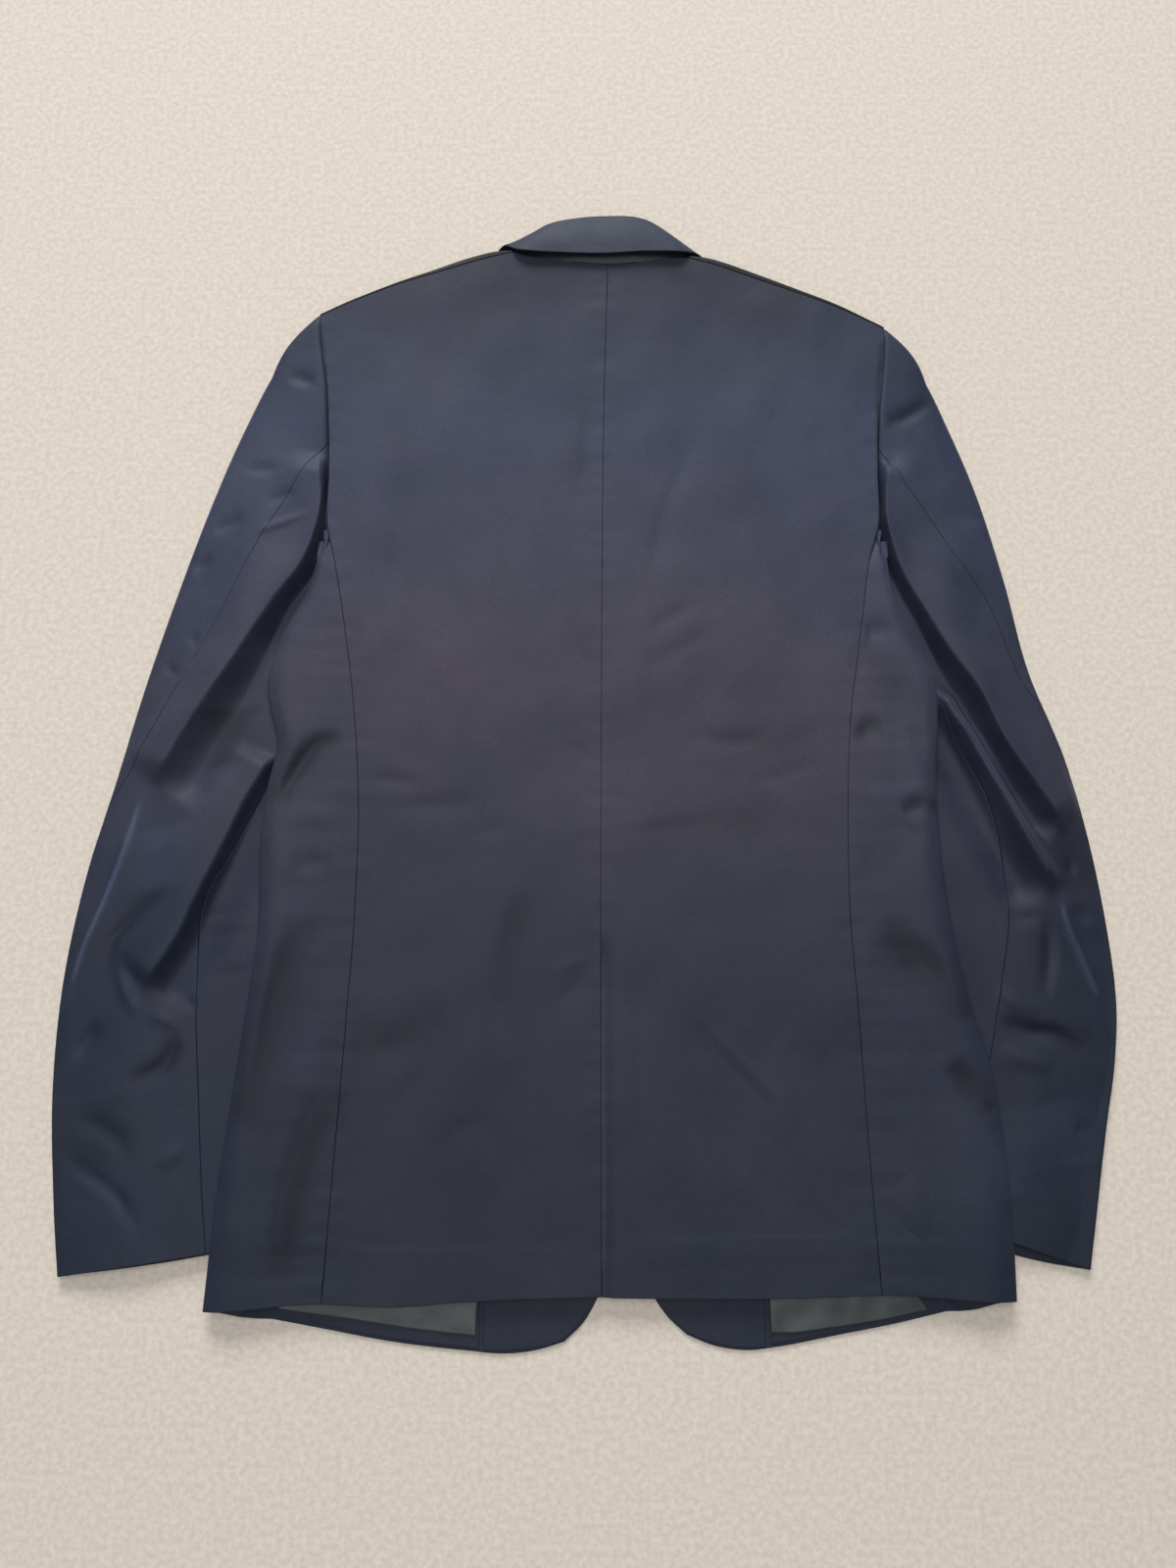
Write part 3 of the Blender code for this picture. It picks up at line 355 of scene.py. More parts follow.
def smooth(knots, values, at):
    """A smooth line through the values at the knots."""
    knots, values, at = (np.asarray(a, float) for a in (knots, values, at))
    slope = np.gradient(values, knots, axis=0)
    i = np.clip(np.searchsorted(knots, at) - 1, 0, len(knots) - 2)
    step = knots[i + 1] - knots[i]
    t = np.clip((at - knots[i]) / step, 0, 1)
    if values.ndim > 1:
        step, t = step[..., None], t[..., None]
    a, b = values[i], values[i + 1]
    bend = (1 - t) * (slope[i] * step - (b - a)) - t * (slope[i + 1] * step - (b - a))
    return a + t * (b - a) + t * (1 - t) * bend


def ease(t):
    """0 to 1 with level ends."""
    t = np.clip(t, 0, 1)
    return t * t * (3 - 2 * t)


def rise(t, start, over):
    """0 up to the start, then up to 1 over a length."""
    return ease((t - start) / over)


def span(t, start, over, end, out):
    """Up to 1 from the start over a length, and back to 0 from the end."""
    return rise(t, start, over) * (1 - rise(t, end, out))


def lengths(line):
    """The distance along a line to each of its points."""
    steps = np.linalg.norm(np.diff(line, axis=0), axis=1)
    return np.concatenate([[0], np.cumsum(steps)])


def sampled(line, along, at):
    """A line's points where its length along is at."""
    return np.stack([np.interp(at, along, column) for column in line.T], -1)


def traced(points):
    """Close points along the smooth curve through the points. A point given twice is a corner."""
    p = np.array(points, float)
    cuts = [i + 1 for i in range(len(p) - 1) if (p[i] == p[i + 1]).all()]
    out = []
    for piece in np.split(p, cuts):
        along = lengths(piece)
        out.append(smooth(along, piece, np.linspace(0, along[-1], 40 * len(piece))))
    return np.concatenate(out)


def path(points, shares):
    """Points at the shares of the curve's length."""
    line = traced(points)
    along = lengths(line)
    return sampled(line, along, np.asarray(shares) * along[-1])


def patch(low, high, left, right, us, vs):
    """The plan of a panel between its four sides: low and high run with u, left and right with v."""
    b, t = path(low, us), path(high, us)
    l, r = path(left, vs), path(right, vs)
    u, v = us[None, :, None], vs[:, None, None]
    flat = (1 - u) * (1 - v) * b[0] + u * (1 - v) * b[-1] + (1 - u) * v * t[0] + u * v * t[-1]
    return (1 - v) * b + v * t + (1 - u) * l[:, None] + u * r[:, None] - flat


def even(length, step):
    """Shares of a length, a step apart and close together next to both ends."""
    inner = np.linspace(FINE[-1], length - FINE[-1], max(3, int(length / step)))
    return np.concatenate([FINE[:-1], inner, length - np.array(FINE[-2::-1])]) / length


def between(marks, cells, length):
    """Shares from mark to mark, each stretch in its own number of cells, close together at both ends."""
    parts = [np.linspace(a, b, n + 1)[:-1] for a, b, n in zip(marks, marks[1:], cells)]
    shares = np.concatenate(parts)
    fine = np.array(FINE) / length
    inner = shares[(shares > 1.3 * fine[-1]) & (shares < 1 - 1.3 * fine[-1])]
    return np.concatenate([fine, inner, 1 - fine[::-1]])


def near(x, y, points):
    """How far each place is from a stroke, on which side of it, and how far along, 0 to 1."""
    line = path(np.reshape(points, (-1, 2)), np.linspace(0, 1, CURVE_POINTS))
    way = np.gradient(line, axis=0)
    step = np.linalg.norm(way, axis=1)
    way /= step[:, None]
    best = np.full(x.shape, np.inf)
    at = np.zeros(x.shape, int)
    for k, (px, py) in enumerate(line):
        far = (x - px) ** 2 + (y - py) ** 2
        closer = far < best
        best = np.where(closer, far, best)
        at = np.where(closer, k, at)
    dx, dy = x - line[at, 0], y - line[at, 1]
    wx, wy = way[at, 0], way[at, 1]
    across = dy * wx - dx * wy
    along = dx * wx + dy * wy
    last = CURVE_POINTS - 1
    past = np.where((at == 0) | (at == last), along, 0)
    share = np.clip((at + along / step[at]) / last, 0, 1)
    return np.sqrt(across**2 + past**2), np.sign(across), share


def fold_rise(side, x, y):
    """What the large folds add to a sleeve's upper side."""
    total = np.zeros_like(x)
    for *points, high, dip, reach, first, last, back, end in FOLDS[side]:
        far, turn, along = near(x * side, y, points)
        drop = first + (last - first) * along
        strength = ease(along / 0.08) * ease((1 - along) / end)
        outer = high * (1 - ease(far / reach))
        down = np.clip(far / drop, 0, 1)
        down = down**2 / (down + 0.12) * 1.12
        fall = high - (high + dip) * (1 - (1 - down) ** 2)
        after = -dip * (1 - ease((far - drop) / back))
        total += strength * np.where(turn < 0, np.where(far < drop, fall, after), outer)
    return total


def creases(x, y, rows):
    """What soft troughs and ridges add."""
    total = np.zeros_like(x)
    for *points, height, left, right in rows:
        far, turn, along = near(x, y, points)
        wide = np.where(turn > 0, left, right)
        total += height * np.sin(np.pi * np.clip(along, 0.02, 0.98)) * np.exp(-((far / wide) ** 2) * 1.6)
    return total


def painted_light(x, y):
    """The painted light and shade: how much lighter or darker the cloth is painted along its pressed
    creases, folds and seams, and in patches.
    """
    light = np.ones_like(x)
    a, b, c, d = SPOT
    spots = [(px, py, px + a, py + b, px + c, py + d, *rest) for px, py, *rest in PAINTED_SPOTS]
    for *points, gain, wide in (*PAINTED_LIGHT, *spots):
        far, _, along = near(x, y, points)
        light += gain * np.exp(-((far / wide) ** 2)) * ease(along / 0.15) * ease((1 - along) / 0.15)
    return light


def puckers(y, far):
    """Small puckers along a seam, at a distance from it."""
    beads = np.sin(y / 2.4 + 2 * np.sin(y / 31)) + 0.7 * np.sin(y / 4.3 + 1)
    return PUCKER * beads * np.exp(-((far / PUCKER_REACH) ** 2))


def ripples(x, y, seed, size, height):
    """Broad uneven waves of the cloth."""
    random = np.random.default_rng(seed)
    total = np.zeros_like(x)
    for _ in range(WAVES):
        turn = random.uniform(0, 2 * np.pi)
        start = random.uniform(0, 6.28)
        scale = random.uniform(0.6, 1.7)
        total += np.sin((x * np.cos(turn) + y * np.sin(turn)) * 6.28 / (size * scale) + start)
    return total * height / np.sqrt(WAVES)


def back_edge(side, y):
    """Where the back ends, at its side seam and armhole."""
    return side * smooth(BACK[side]["y"], BACK[side]["wide"], y)


def back_height(side, x, y):
    """The upper face of the back."""
    centre = smooth(HEIGHT["y"], HEIGHT["centre"], y)
    edge = smooth(HEIGHT["y"], HEIGHT["edge"], y)
    share = np.clip(x / back_edge(side, y), 0, 1)
    seams = puckers(y, abs(x - back_edge(side, y))) + puckers(y + 40, abs(x))
    relief = creases(x, y, BODY_CREASES) + ripples(x, y, 5, 70, 0.28) + seams
    return centre + (edge - centre) * share**2 + relief


def normals(face, way=None):
    """The outward normal at each grid point. way stands in for the grid's direction across."""
    across = np.gradient(face, axis=1) if way is None else np.broadcast_to(way, face.shape)
    normal = np.cross(across, np.gradient(face, axis=0))
    return normal / np.maximum(np.linalg.norm(normal, axis=2), 1e-9)[..., None]


def border(face):
    """How far each grid point is from the piece's edge, along the cloth."""
    found = []
    for axis in (0, 1):
        steps = np.linalg.norm(np.diff(face, axis=axis), axis=2)
        along = np.cumsum(steps, axis=axis)
        zero = np.zeros_like(np.take(along, [0], axis))
        along = np.concatenate([zero, along], axis=axis)
        found += [along, np.take(along, [-1], axis) - along]
    return np.min(found, axis=0)


def mesh_of(name, verts, faces, material, painted_light_gain=None):
    """The piece's mesh, with the painted light and shade at each vertex as a gain on the cloth's colour, 1
    where none is painted.
    """
    verts = (np.array(verts, float) + (*MIDDLE, 0)) * 0.001
    mesh = bpy.data.meshes.new(name)
    mesh.from_pydata(verts.tolist(), [], faces)
    mesh.polygons.foreach_set("use_smooth", [True] * len(mesh.polygons))
    mesh.materials.append(material)
    mesh.update()
    painted_light_gain = np.ones(len(verts)) if painted_light_gain is None else painted_light_gain
    mesh.attributes.new("painted_light_gain", "FLOAT", "POINT").data.foreach_set("value", painted_light_gain)
    obj = bpy.data.objects.new(name, mesh)
    bpy.context.scene.collection.objects.link(obj)
    return obj


def cloth(name, face, material, way=None, thick=WALL, painted_light_gain=1.0):
    """A closed wall with the grid as its outer face and its edges rolled in."""
    rows, cols = face.shape[:2]
    normal = normals(face, way)
    close = 1 - np.clip(border(face) / EDGE, 0, 1)
    sink = EDGE * (1 - np.sqrt(np.maximum(1 - close**2, 0)))
    outer = face - normal * sink[..., None]
    inner = face - normal * thick
    verts = np.concatenate([outer.reshape(-1, 3), inner.reshape(-1, 3)])
    at = np.arange(rows * cols).reshape(rows, cols)
    a, b, c, d = at[:-1, :-1], at[:-1, 1:], at[1:, 1:], at[1:, :-1]
    upper = np.stack([a, b, c, d], -1).reshape(-1, 4)
    under = np.stack([a, d, c, b], -1).reshape(-1, 4) + rows * cols
    ring = np.array([*at[0], *at[1:, -1], *at[-1, -2::-1], *at[-2:0:-1, 0]])
    after = np.roll(ring, -1)
    rim = np.stack([ring, ring + rows * cols, after + rows * cols, after], -1)
    # Painted light and shade: the piece's painted gain times the painted light and shade of its creases,
    # seams and patches.
    light = painted_light_gain * painted_light(face[..., 0], face[..., 1])
    light = np.concatenate([light.ravel(), light.ravel()])
    return mesh_of(name, verts, np.concatenate([upper, under, rim]).tolist(), material, light)


def stacked(plan, z):
    """The plan with its heights."""
    return np.concatenate([plan, z[..., None]], axis=-1)


def back_face(side, us, vs):
    """The back from its centre seam to the side seam and armhole."""
    inner = np.array(CENTRE, float) + (side * GAP / 4, 0)
    if side > 0:
        corner = (-VENT_UNDER, VENT_TOP - VENT_SLANT)
        start = (GAP / 4, VENT_TOP)
        inner = [(-VENT_UNDER, 0), corner, corner, start, start, *inner[2:]]
    hem = [tuple(inner[0]), *BACK_HEM[side][1:]]
    top = [*NECK[side], *SHOULDER[side]]
    top[0] = tuple(inner[-1])
    outer = np.stack([side * BACK[side]["wide"], BACK[side]["y"]], axis=1)
    plan = patch(hem, top, inner, outer, us, vs)
    x, y = plan[..., 0], plan[..., 1]
    z = back_height(side, x, y)
    if side > 0:
        above, over = VENT_ABOVE
        z -= VENT_DROP * ease((VENT_REACH - x) / VENT_REACH) * ease((VENT_TOP + above - y) / over)
    face = stacked(plan, z)
    return face if side > 0 else face[:, ::-1]


def side_face(side, us, vs):
    """The side panel from its seam on the back, round the fold, to the front."""
    t = SIDE[side]
    y = t["y"][0] + vs * (t["y"][-1] - t["y"][0])
    edge, over, high, low = (smooth(t["y"], t[k], y) for k in ("edge", "over", "high", "low"))
    lift = y + SIDE_TOP * rise(y, 430, 75)
    seam = abs(back_edge(side, lift)) + GAP
    z = back_height(side, side * seam, lift)
    tuck = np.minimum(6, (edge - over) * 0.4)
    rest = over - FRONT_IN
    close = (1 - rise(over - seam, 14, 16)) * (1 - rise(y, 150, 50))
    sections = (
        (seam, z),
        (seam + (edge - seam) * 0.5, (z + high) / 2 + 0.8),
        (edge - tuck, high),
        (edge, (high + low) / 2),
        (edge - tuck, low),
        (over, low * (1 - 0.13 * close) - 0.3),
        (over - 8, low * 0.4),
        (rest + 5, 0 * low),
        (rest, 0 * low),
    )
    up, down = (k * (1 - rise(y, y[0], 60)) for k in SIDE_HEM[side])
    out = []
    for i, row in enumerate(np.transpose(sections, (2, 0, 1))):
        along = lengths(row)
        at = np.interp(us, [0, 0.5, 1], [0, along[3], along[-1]])
        line = smooth(along, row, at)
        reach = ease(us * 2)
        place = lift[i] + (y[i] - lift[i]) * reach + up[i] * (1 - reach) - down[i] * ease(us * 2 - 1)
        out.append(np.stack([side * line[:, 0], place, np.maximum(line[:, 1], 0)], -1))
    face = np.array(out)
    upper = (1 - rise(us, 0.36, 0.12)) * ease(us / 0.1)
    x, y, z = (face[..., k] for k in range(3))
    relief = (creases(x, y, BODY_CREASES) + ripples(x, y, 6, 55, 0.35)) * upper
    room = np.maximum(z - low[:, None] - WALL - GAP, 0)
    start, length, sink = SIDE_TIP
    tip = sink * rise(y, start, length) * ease(us / 0.04) * (us < 0.5)
    face[..., 2] = z + np.maximum(relief, -room) - tip
    return face if side > 0 else face[:, ::-1]


def front_outer(side):
    """The front's edge along the side panel, then up the armhole."""
    t = SIDE[side]
    y = np.linspace(t["y"][0], t["y"][-1], 60)
    x = smooth(t["y"], t["over"], y) - FRONT_IN - GAP
    low = y - SIDE_HEM[side][1] * (1 - rise(y, y[0], 60))
    up = np.linspace(FRONT_ARMHOLE_FROM, BACK[side]["y"][-1], 7)
    wide = smooth(BACK[side]["y"], BACK[side]["wide"], up) - 1
    along = [*zip(side * x, low)]
    return [*along, along[-1], *zip(side * wide, up)]


def front_height(side, x, y):
    """The outer, lower face of a front: flat on the surface, raised over buttons, lapel and lap."""
    (x0, y0), (x1, y1) = FRONT_EDGE[side][-2:]
    line = x0 + np.clip((y - y0) / (y1 - y0), 0, 1) * (x1 - x0)
    outward = (x - line) * side
    wide = LAPEL_WIDE[0] + LAPEL_WIDE[1] * np.sin(np.pi * np.clip((y - 280) / 560, 0, 1))
    lift = LAPEL_LIFT * span(y, *LAPEL_SPAN) * (1 - rise(outward, wide, 22))
    collar = COLLAR_LIFT * rise(y, *COLLAR_SPAN) * (1 - rise(outward, COLLAR_WIDE, 22))
    z = np.maximum(lift, collar)
    if side < 0:
        room = rise(x, -34, 26) * span(y, *BUTTON_SPAN)
        return np.maximum(z, (BUTTON_THICK + 2 * GAP) * room)
    return z + FRONT_LAP * rise(-x, -84, 30) * span(y, *LAP_SPAN)


def front_face(side, us, vs):
    """The front from its side to its edge, then its roll over the shoulder up to the seam."""
    outer = front_outer(side)
    hem = [outer[0], *FRONT_HEM[side][1:]]
    shoulder = SHOULDER[side][::-1]
    edge = [*FRONT_EDGE[side][:-1], shoulder[-1]]
    plan = patch(hem, shoulder, outer, edge, us, vs)
    x, y = plan[..., 0], plan[..., 1]
    face = stacked(plan, front_height(side, x, y))
    top = path(shoulder, us)
    z = back_height(side, top[:, 0], top[:, 1])
    start = face[-1, :, 2]
    limit = top[:, 1] - TOP_SHORT
    depth = (np.arange(len(vs)) - len(vs))[:, None] * TOP_STEP
    face[..., 1] = np.where(face[..., 1] > limit - 0.01, limit + depth, face[..., 1])
    full = smooth(SHOULDER_ROLL[side]["along"], SHOULDER_ROLL[side]["full"], us)
    knots = np.linspace(0, 1, len(ROLL_STEPS["up"]))
    shares = np.linspace(0, 1, ROLL_ROWS)
    least, more, up = (smooth(knots, ROLL_STEPS[k], shares) for k in ("least", "more", "up"))
    roll = [
        np.stack([top[:, 0], top[:, 1] + a + b * full, start + (z - start) * c], -1)
        for a, b, c in zip(least, more, up)
    ]
    face = np.concatenate([face, np.array(roll)])
    return face if side > 0 else face[:, ::-1]


def armhole(side, share):
    """The armhole in plan, from the shoulder down, just clear of the body."""
    t = BACK[side]
    y = SLEEVE[side]["out_y"][0] + share * (SLEEVE[side]["in_y"][0] - SLEEVE[side]["out_y"][0])
    wide = smooth(t["y"], t["wide"], y) + 3 * ease((522 - y) / 18) + GAP
    return np.stack([side * wide, y], -1)


def ring(side, row, q):
    """A sleeve's section: points, and how far each takes part in the folds. q runs from 0 to 1 over
    the upper side, on to 2 underneath, and row has the table's values there, and s, how far down."""
    q = np.mod(q, 2)
    share = np.where(q <= 1, q, 2 - q)
    from_edge = np.minimum(share, 1 - share)
    turn = np.clip(from_edge / SLEEVE_ROUND, 0, 1) * np.pi / 2
    inset = np.where(from_edge < SLEEVE_ROUND, SLEEVE_ROUND * (1 - np.cos(turn)), from_edge)
    share = np.where(share < 0.5, inset, 1 - inset)
    full = np.sin(turn)
    across = row["high_in"] + (row["high_out"] - row["high_in"]) * (1 - rise(share, 0.4, 0.38))
    turned = np.pi * np.clip(row["s"] * HEAD_SHARE, 0, 1)
    out_x = row["out_x"] + HEAD_BULGE[0] * np.sin(turned)
    out = np.array([side * out_x, row["out_y"] + HEAD_BULGE[1] * np.cos(turned / 2)])
    inn = np.array([side * row["in_x"], row["in_y"]])
    plan = out + (inn - out) * share[:, None]
    t = SLEEVE[side]
    first = np.array([[side * t[f"{k}_x"][0], t[f"{k}_y"][0]] for k in ("out", "in")])
    chord = first[0] + (first[1] - first[0]) * share[:, None]
    below = ease(row["s"] * ARMHOLE_SHARE)
    plan = plan + (armhole(side, share) - chord) * (1 - below)
    upper = q <= 1
    z = across * np.where(upper, 1 + full, 1 - full) / 2
    z -= upper * SLEEVE_SLOPE[side] * full * np.clip(1 - share / 0.4, 0, 1) ** 1.5 * below
    slip = CUFF_SLIP[side] * rise(row["s"], 0.9, 0.1) * np.sin(np.pi * share)
    z -= upper * full * ARMHOLE_SINK * np.exp(-((row["s"] / SINK_SHARE) ** 2))
    folding = full**2 * ease(row["s"] / 0.04) * upper
    plan[:, 1] -= np.where(upper, 0, slip)
    return np.stack([plan[:, 0], plan[:, 1], z, folding], -1)


def sleeve_face(side, piece, us, vs):
    """One of a sleeve's two pieces, from seam to seam, with its folds."""
    t = SLEEVE[side]
    knots = np.linspace(0, 1, len(t["hind"]))
    face = []
    for s in vs:
        row = {k: float(smooth(knots, t[k], s)) for k in t}
        row["s"] = s
        ends = (row["hind"], row["fore"]) if piece == "under" else (row["fore"], 2 + row["hind"])
        q = np.linspace(*ends, 400)
        line = ring(side, row, q)
        along = lengths(line[:, :3])
        first_edge = 0 if piece == "under" else 1
        edges = max(first_edge, ends[0] + 0.06), min(first_edge + 1, ends[1] - 0.1)
        marks = np.interp((ends[0], *edges, ends[1]), q, along)
        at = np.interp(us, (0, *SLEEVE_EDGES[piece], 1), marks)
        face.append(sampled(line, along, np.clip(at, SLEEVE_SEAM, along[-1] - SLEEVE_SEAM)))
    x, y, z, folding = np.moveaxis(np.array(face), -1, 0)
    relief = fold_rise(side, x, y) + creases(x * side, y, SLEEVE_CREASES[side])
    relief = relief + ripples(x, y, 8, 60, 0.3)
    z = np.where(folding > 0, np.maximum(z + relief * folding, LOWEST), z)
    face = np.stack([x, y, z], -1)
    return face if side > 0 else face[:, ::-1]


def collar_face(part, us, vs):
    """The collar's leaf or its stand, along the neck with u and from the edge to the roll with v."""
    knots = np.linspace(0, 1, len(COLLAR["roll_x"]))
    roll, leaf, neck = (
        smooth(knots, np.stack([COLLAR[f"{k}_{a}"] for a in "xyz"], -1), us)
        for k in ("roll", "leaf", "neck")
    )
    v = vs[:, None, None]
    out = roll[:, :2] - leaf[:, :2]
    out /= np.linalg.norm(out, axis=1)[:, None]
    tuck = smooth(knots, COLLAR["tuck_z"], us)
    if part == "leaf":
        roll[:, :2] -= out * ROLL_OUT * 0.8
        face = leaf + (roll - leaf) * v
        standing = rise(roll[:, 2], 10, 10)
        face[..., 2] += 1.2 * np.sin(np.pi * vs)[:, None] * standing
        face[..., 2] += ripples(face[..., 0], face[..., 1], 21, 45, 0.25) * standing
        turn = np.linspace(0, np.pi, 10)[1:, None]
        fall = (roll[:, 2] - np.maximum(tuck - ROLL_OUT, 0.2)) * (1 - np.cos(turn)) / 2
        over = roll[:, :2] + out * (ROLL_OUT * np.sin(turn))[..., None]
        return np.concatenate([face, stacked(over, roll[:, 2] - fall)])
    inside = roll.copy()
    inside[:, :2] -= out * 3
    inside[:, 2] = tuck
    standing = rise(neck[:, 2], 12, 6)
    neck[:, 1] -= 0.6 * standing
    below = standing * rise(abs(neck[:, 0] - 5), 22, 12)
    neck[:, 1] -= 2.2 * below
    neck[:, 2] -= 2.1 * below
    return neck + (inside - neck) * v


def strip_face(low, high, z, bulge, us, vs):
    """A strip between its lower and its upper edge, both from left to right."""
    left, right = (low[0], high[0]), (low[-1], high[-1])
    plan = patch(low, high, left, right, us, vs)
    x, y = plan[..., 0], plan[..., 1]
    return stacked(plan, z + bulge * (1 + ripples(x, y, 11, 26, 1.0)) / 2)


def lapel_face(side, us, vs):
    """A lapel, from its tip at the top button up to its notch."""
    outer, roll, notch = LAPEL[side]
    plan = patch((roll[0], outer[0]), (roll[-1], notch, outer[-1]), roll, outer, us, vs)
    face = stacked(plan, np.full(plan.shape[:2], 0.05))
    return face[:, ::-1] if side > 0 else face


def button(name, x, y, material):
    """A front button with a raised rim, lying outside the left front."""
    turn = np.linspace(0, 2 * np.pi, 49)[:-1]
    r, h = BUTTON_RADIUS, BUTTON_THICK
    rings = ((3.0, 0.9), (6.6, 0.9), (7.6, 0.5), (8.4, 0.1), (r - 0.7, 0), (r - 0.2, 0.3), (r, 0.8),
             (r, h - 0.8), (r - 0.3, h - 0.3), (r - 0.9, h))
    verts = [(x, y, 0.9)]
    for out, z in rings:
        verts += [(x + out * np.cos(a), y + out * np.sin(a), z) for a in turn]
    verts.append((x, y, h))
    last, n = len(verts) - 1, len(turn)
    faces = []
    for j in range(n):
        k = (j + 1) % n
        faces.append((0, 1 + k, 1 + j))
        faces.append((last, last - n + j, last - n + k))
        for i in range(len(rings) - 1):
            a, b = 1 + n * i, 1 + n * (i + 1)
            faces.append((a + j, a + k, b + k, b + j))
    return mesh_of(name, verts, faces, material)


def nodes_of(name, **values):
    """A new material, its node tree and its shader with sockets set."""
    material = bpy.data.materials.new(name)
    material.use_nodes = True
    tree = material.node_tree
    shader = tree.nodes["Principled BSDF"]
    for key, value in values.items():
        shader.inputs[key.replace("_", " ")].default_value = value
    return material, tree, shader


def add(tree, kind, **values):
    """A node with its properties and sockets set; a socket is named with _ for a space."""
    node = tree.nodes.new(kind)
    for key, value in values.items():
        socket = node.inputs.get(key.replace("_", " "))
        if socket is not None and not hasattr(node, key):
            socket.default_value = value
        else:
            setattr(node, key, value)
    return node


def texture(tree, kind, **values):
    """The outputs of a texture laid on the piece's own coordinates."""
    node = add(tree, f"ShaderNodeTex{kind}", **values)
    place = add(tree, "ShaderNodeTexCoord").outputs["Object"]
    tree.links.new(place, node.inputs["Vector"])
    return node.outputs


def bumps(tree, shader, *layers):
    """Bumps on top of one another: what each follows, its strength and its depth in metres."""
    below = None
    for height, strength, depth in layers:
        bump = add(tree, "ShaderNodeBump", Strength=strength, Distance=depth)
        tree.links.new(height, bump.inputs["Height"])
        if below:
            tree.links.new(below, bump.inputs["Normal"])
        below = bump.outputs[0]
    tree.links.new(below, shader.inputs["Normal"])


def ramp(tree, factor, *stops):
    """The colour by the factor. A stop is the factor there and the colour."""
    node = add(tree, "ShaderNodeValToRGB")
    line = node.color_ramp.elements
    while len(line) < len(stops):
        line.new(0.5)
    for element, (place, *colour) in zip(line, stops):
        element.position = place
        element.color = (*colour, 1)
    tree.links.new(factor, node.inputs[0])
    return node.outputs[0]


def mix(tree, factor, a, b, blend="MIX"):
    """Two colours mixed. Each value is a colour, a number or an output."""
    node = tree.nodes.new("ShaderNodeMix")
    node.data_type = "RGBA"
    node.blend_type = blend
    for socket, value in ((node.inputs[0], factor), (node.inputs[6], a), (node.inputs[7], b)):
        if hasattr(value, "is_linked"):
            tree.links.new(value, socket)
        else:
            socket.default_value = value
    return node.outputs[2]


def suiting():
    """Fine navy twill: diagonal wales, a painted highlight across the middle of the back and painted shade
    towards the hem and the collar, bluer outward, a soft worn cast in patches, painted light and shade
    from each vertex, and a little lint."""
    material, tree, shader = nodes_of("suiting", Specular_IOR_Level=0.22, Sheen_Weight=0.06,
                                      Sheen_Roughness=0.4, Sheen_Tint=(0.5, 0.6, 0.85, 1))
    link = tree.links.new
    wales = texture(tree, "Wave", wave_type="BANDS", bands_direction="DIAGONAL", Scale=620.0,
                    Distortion=1.5, Detail=2.0, Detail_Scale=3.0)
    threads = texture(tree, "Noise", Scale=1500.0, Detail=2.0, Roughness=0.6)
    patches = texture(tree, "Noise", Scale=9.0, Detail=4.0, Roughness=0.55)
    rubbed = texture(tree, "Noise", Scale=38.0, Detail=5.0, Roughness=0.6)
    lint = texture(tree, "Voronoi", Scale=34.0, Randomness=1.0)
    parts = add(tree, "ShaderNodeSeparateXYZ")
    link(add(tree, "ShaderNodeTexCoord").outputs["Object"], parts.inputs[0])
    height = add(tree, "ShaderNodeMapRange", From_Min=-0.42, From_Max=0.42)
    link(parts.outputs["Y"], height.inputs["Value"])
    # Painted highlight across the middle of the back and painted shade towards the hem and under the
    # collar, by height.
    along = ramp(
        tree, height.outputs["Result"],
        (0.0, 0.012, 0.016, 0.028), (0.32, 0.018, 0.020, 0.033), (0.55, 0.036, 0.033, 0.050),
        (0.78, 0.032, 0.037, 0.066), (0.94, 0.013, 0.017, 0.028),
    )
    side = add(tree, "ShaderNodeMath", operation="ABSOLUTE")
    link(parts.outputs["X"], side.inputs[0])
    outward = add(tree, "ShaderNodeMapRange", From_Min=0.12, From_Max=0.3)
    link(side.outputs[0], outward.inputs["Value"])
    bluer = ramp(tree, outward.outputs["Result"], (0, 1.0, 1.0, 1.0), (1, 0.82, 0.96, 1.04))
    patched = ramp(tree, patches["Fac"], (0.35, 0.84, 0.9, 0.95), (0.65, 1.14, 1.09, 1.05))
    fine = ramp(tree, rubbed["Fac"], (0.3, 0.84, 0.86, 0.88), (0.7, 1.16, 1.14, 1.12))
    thread = ramp(tree, threads["Fac"], (0.3, 0.74, 0.74, 0.76), (0.7, 1.28, 1.28, 1.26))
    # Painted light and shade, stored on each vertex, multiplies the colour.
    painted_light_gain = add(tree, "ShaderNodeAttribute", attribute_name="painted_light_gain").outputs["Color"]
    colour = along
    for factor in (bluer, patched, fine, thread, painted_light_gain):
        colour = mix(tree, 1.0, colour, factor, "MULTIPLY")
    speck = ramp(tree, lint["Distance"], (0.012, 1, 1, 1), (0.02, 0, 0, 0))
    chance = ramp(tree, lint["Color"], (0.955, 0, 0, 0), (0.96, 1, 1, 1))
    spots = mix(tree, 1.0, speck, chance, "MULTIPLY")
    colour = mix(tree, spots, colour, (0.5, 0.48, 0.45, 1))
    link(colour, shader.inputs["Base Color"])
    rough = ramp(tree, rubbed["Fac"], (0.3, 0.56, 0.56, 0.56), (0.7, 0.66, 0.66, 0.66))
    link(rough, shader.inputs["Roughness"])
    weave = mix(tree, 0.5, wales["Color"], threads["Color"])
    bumps(tree, shader, (weave, 0.35, 0.00012), (rubbed["Fac"], 0.6, 0.0009),
          (patches["Fac"], 0.7, 0.0022))
    return material


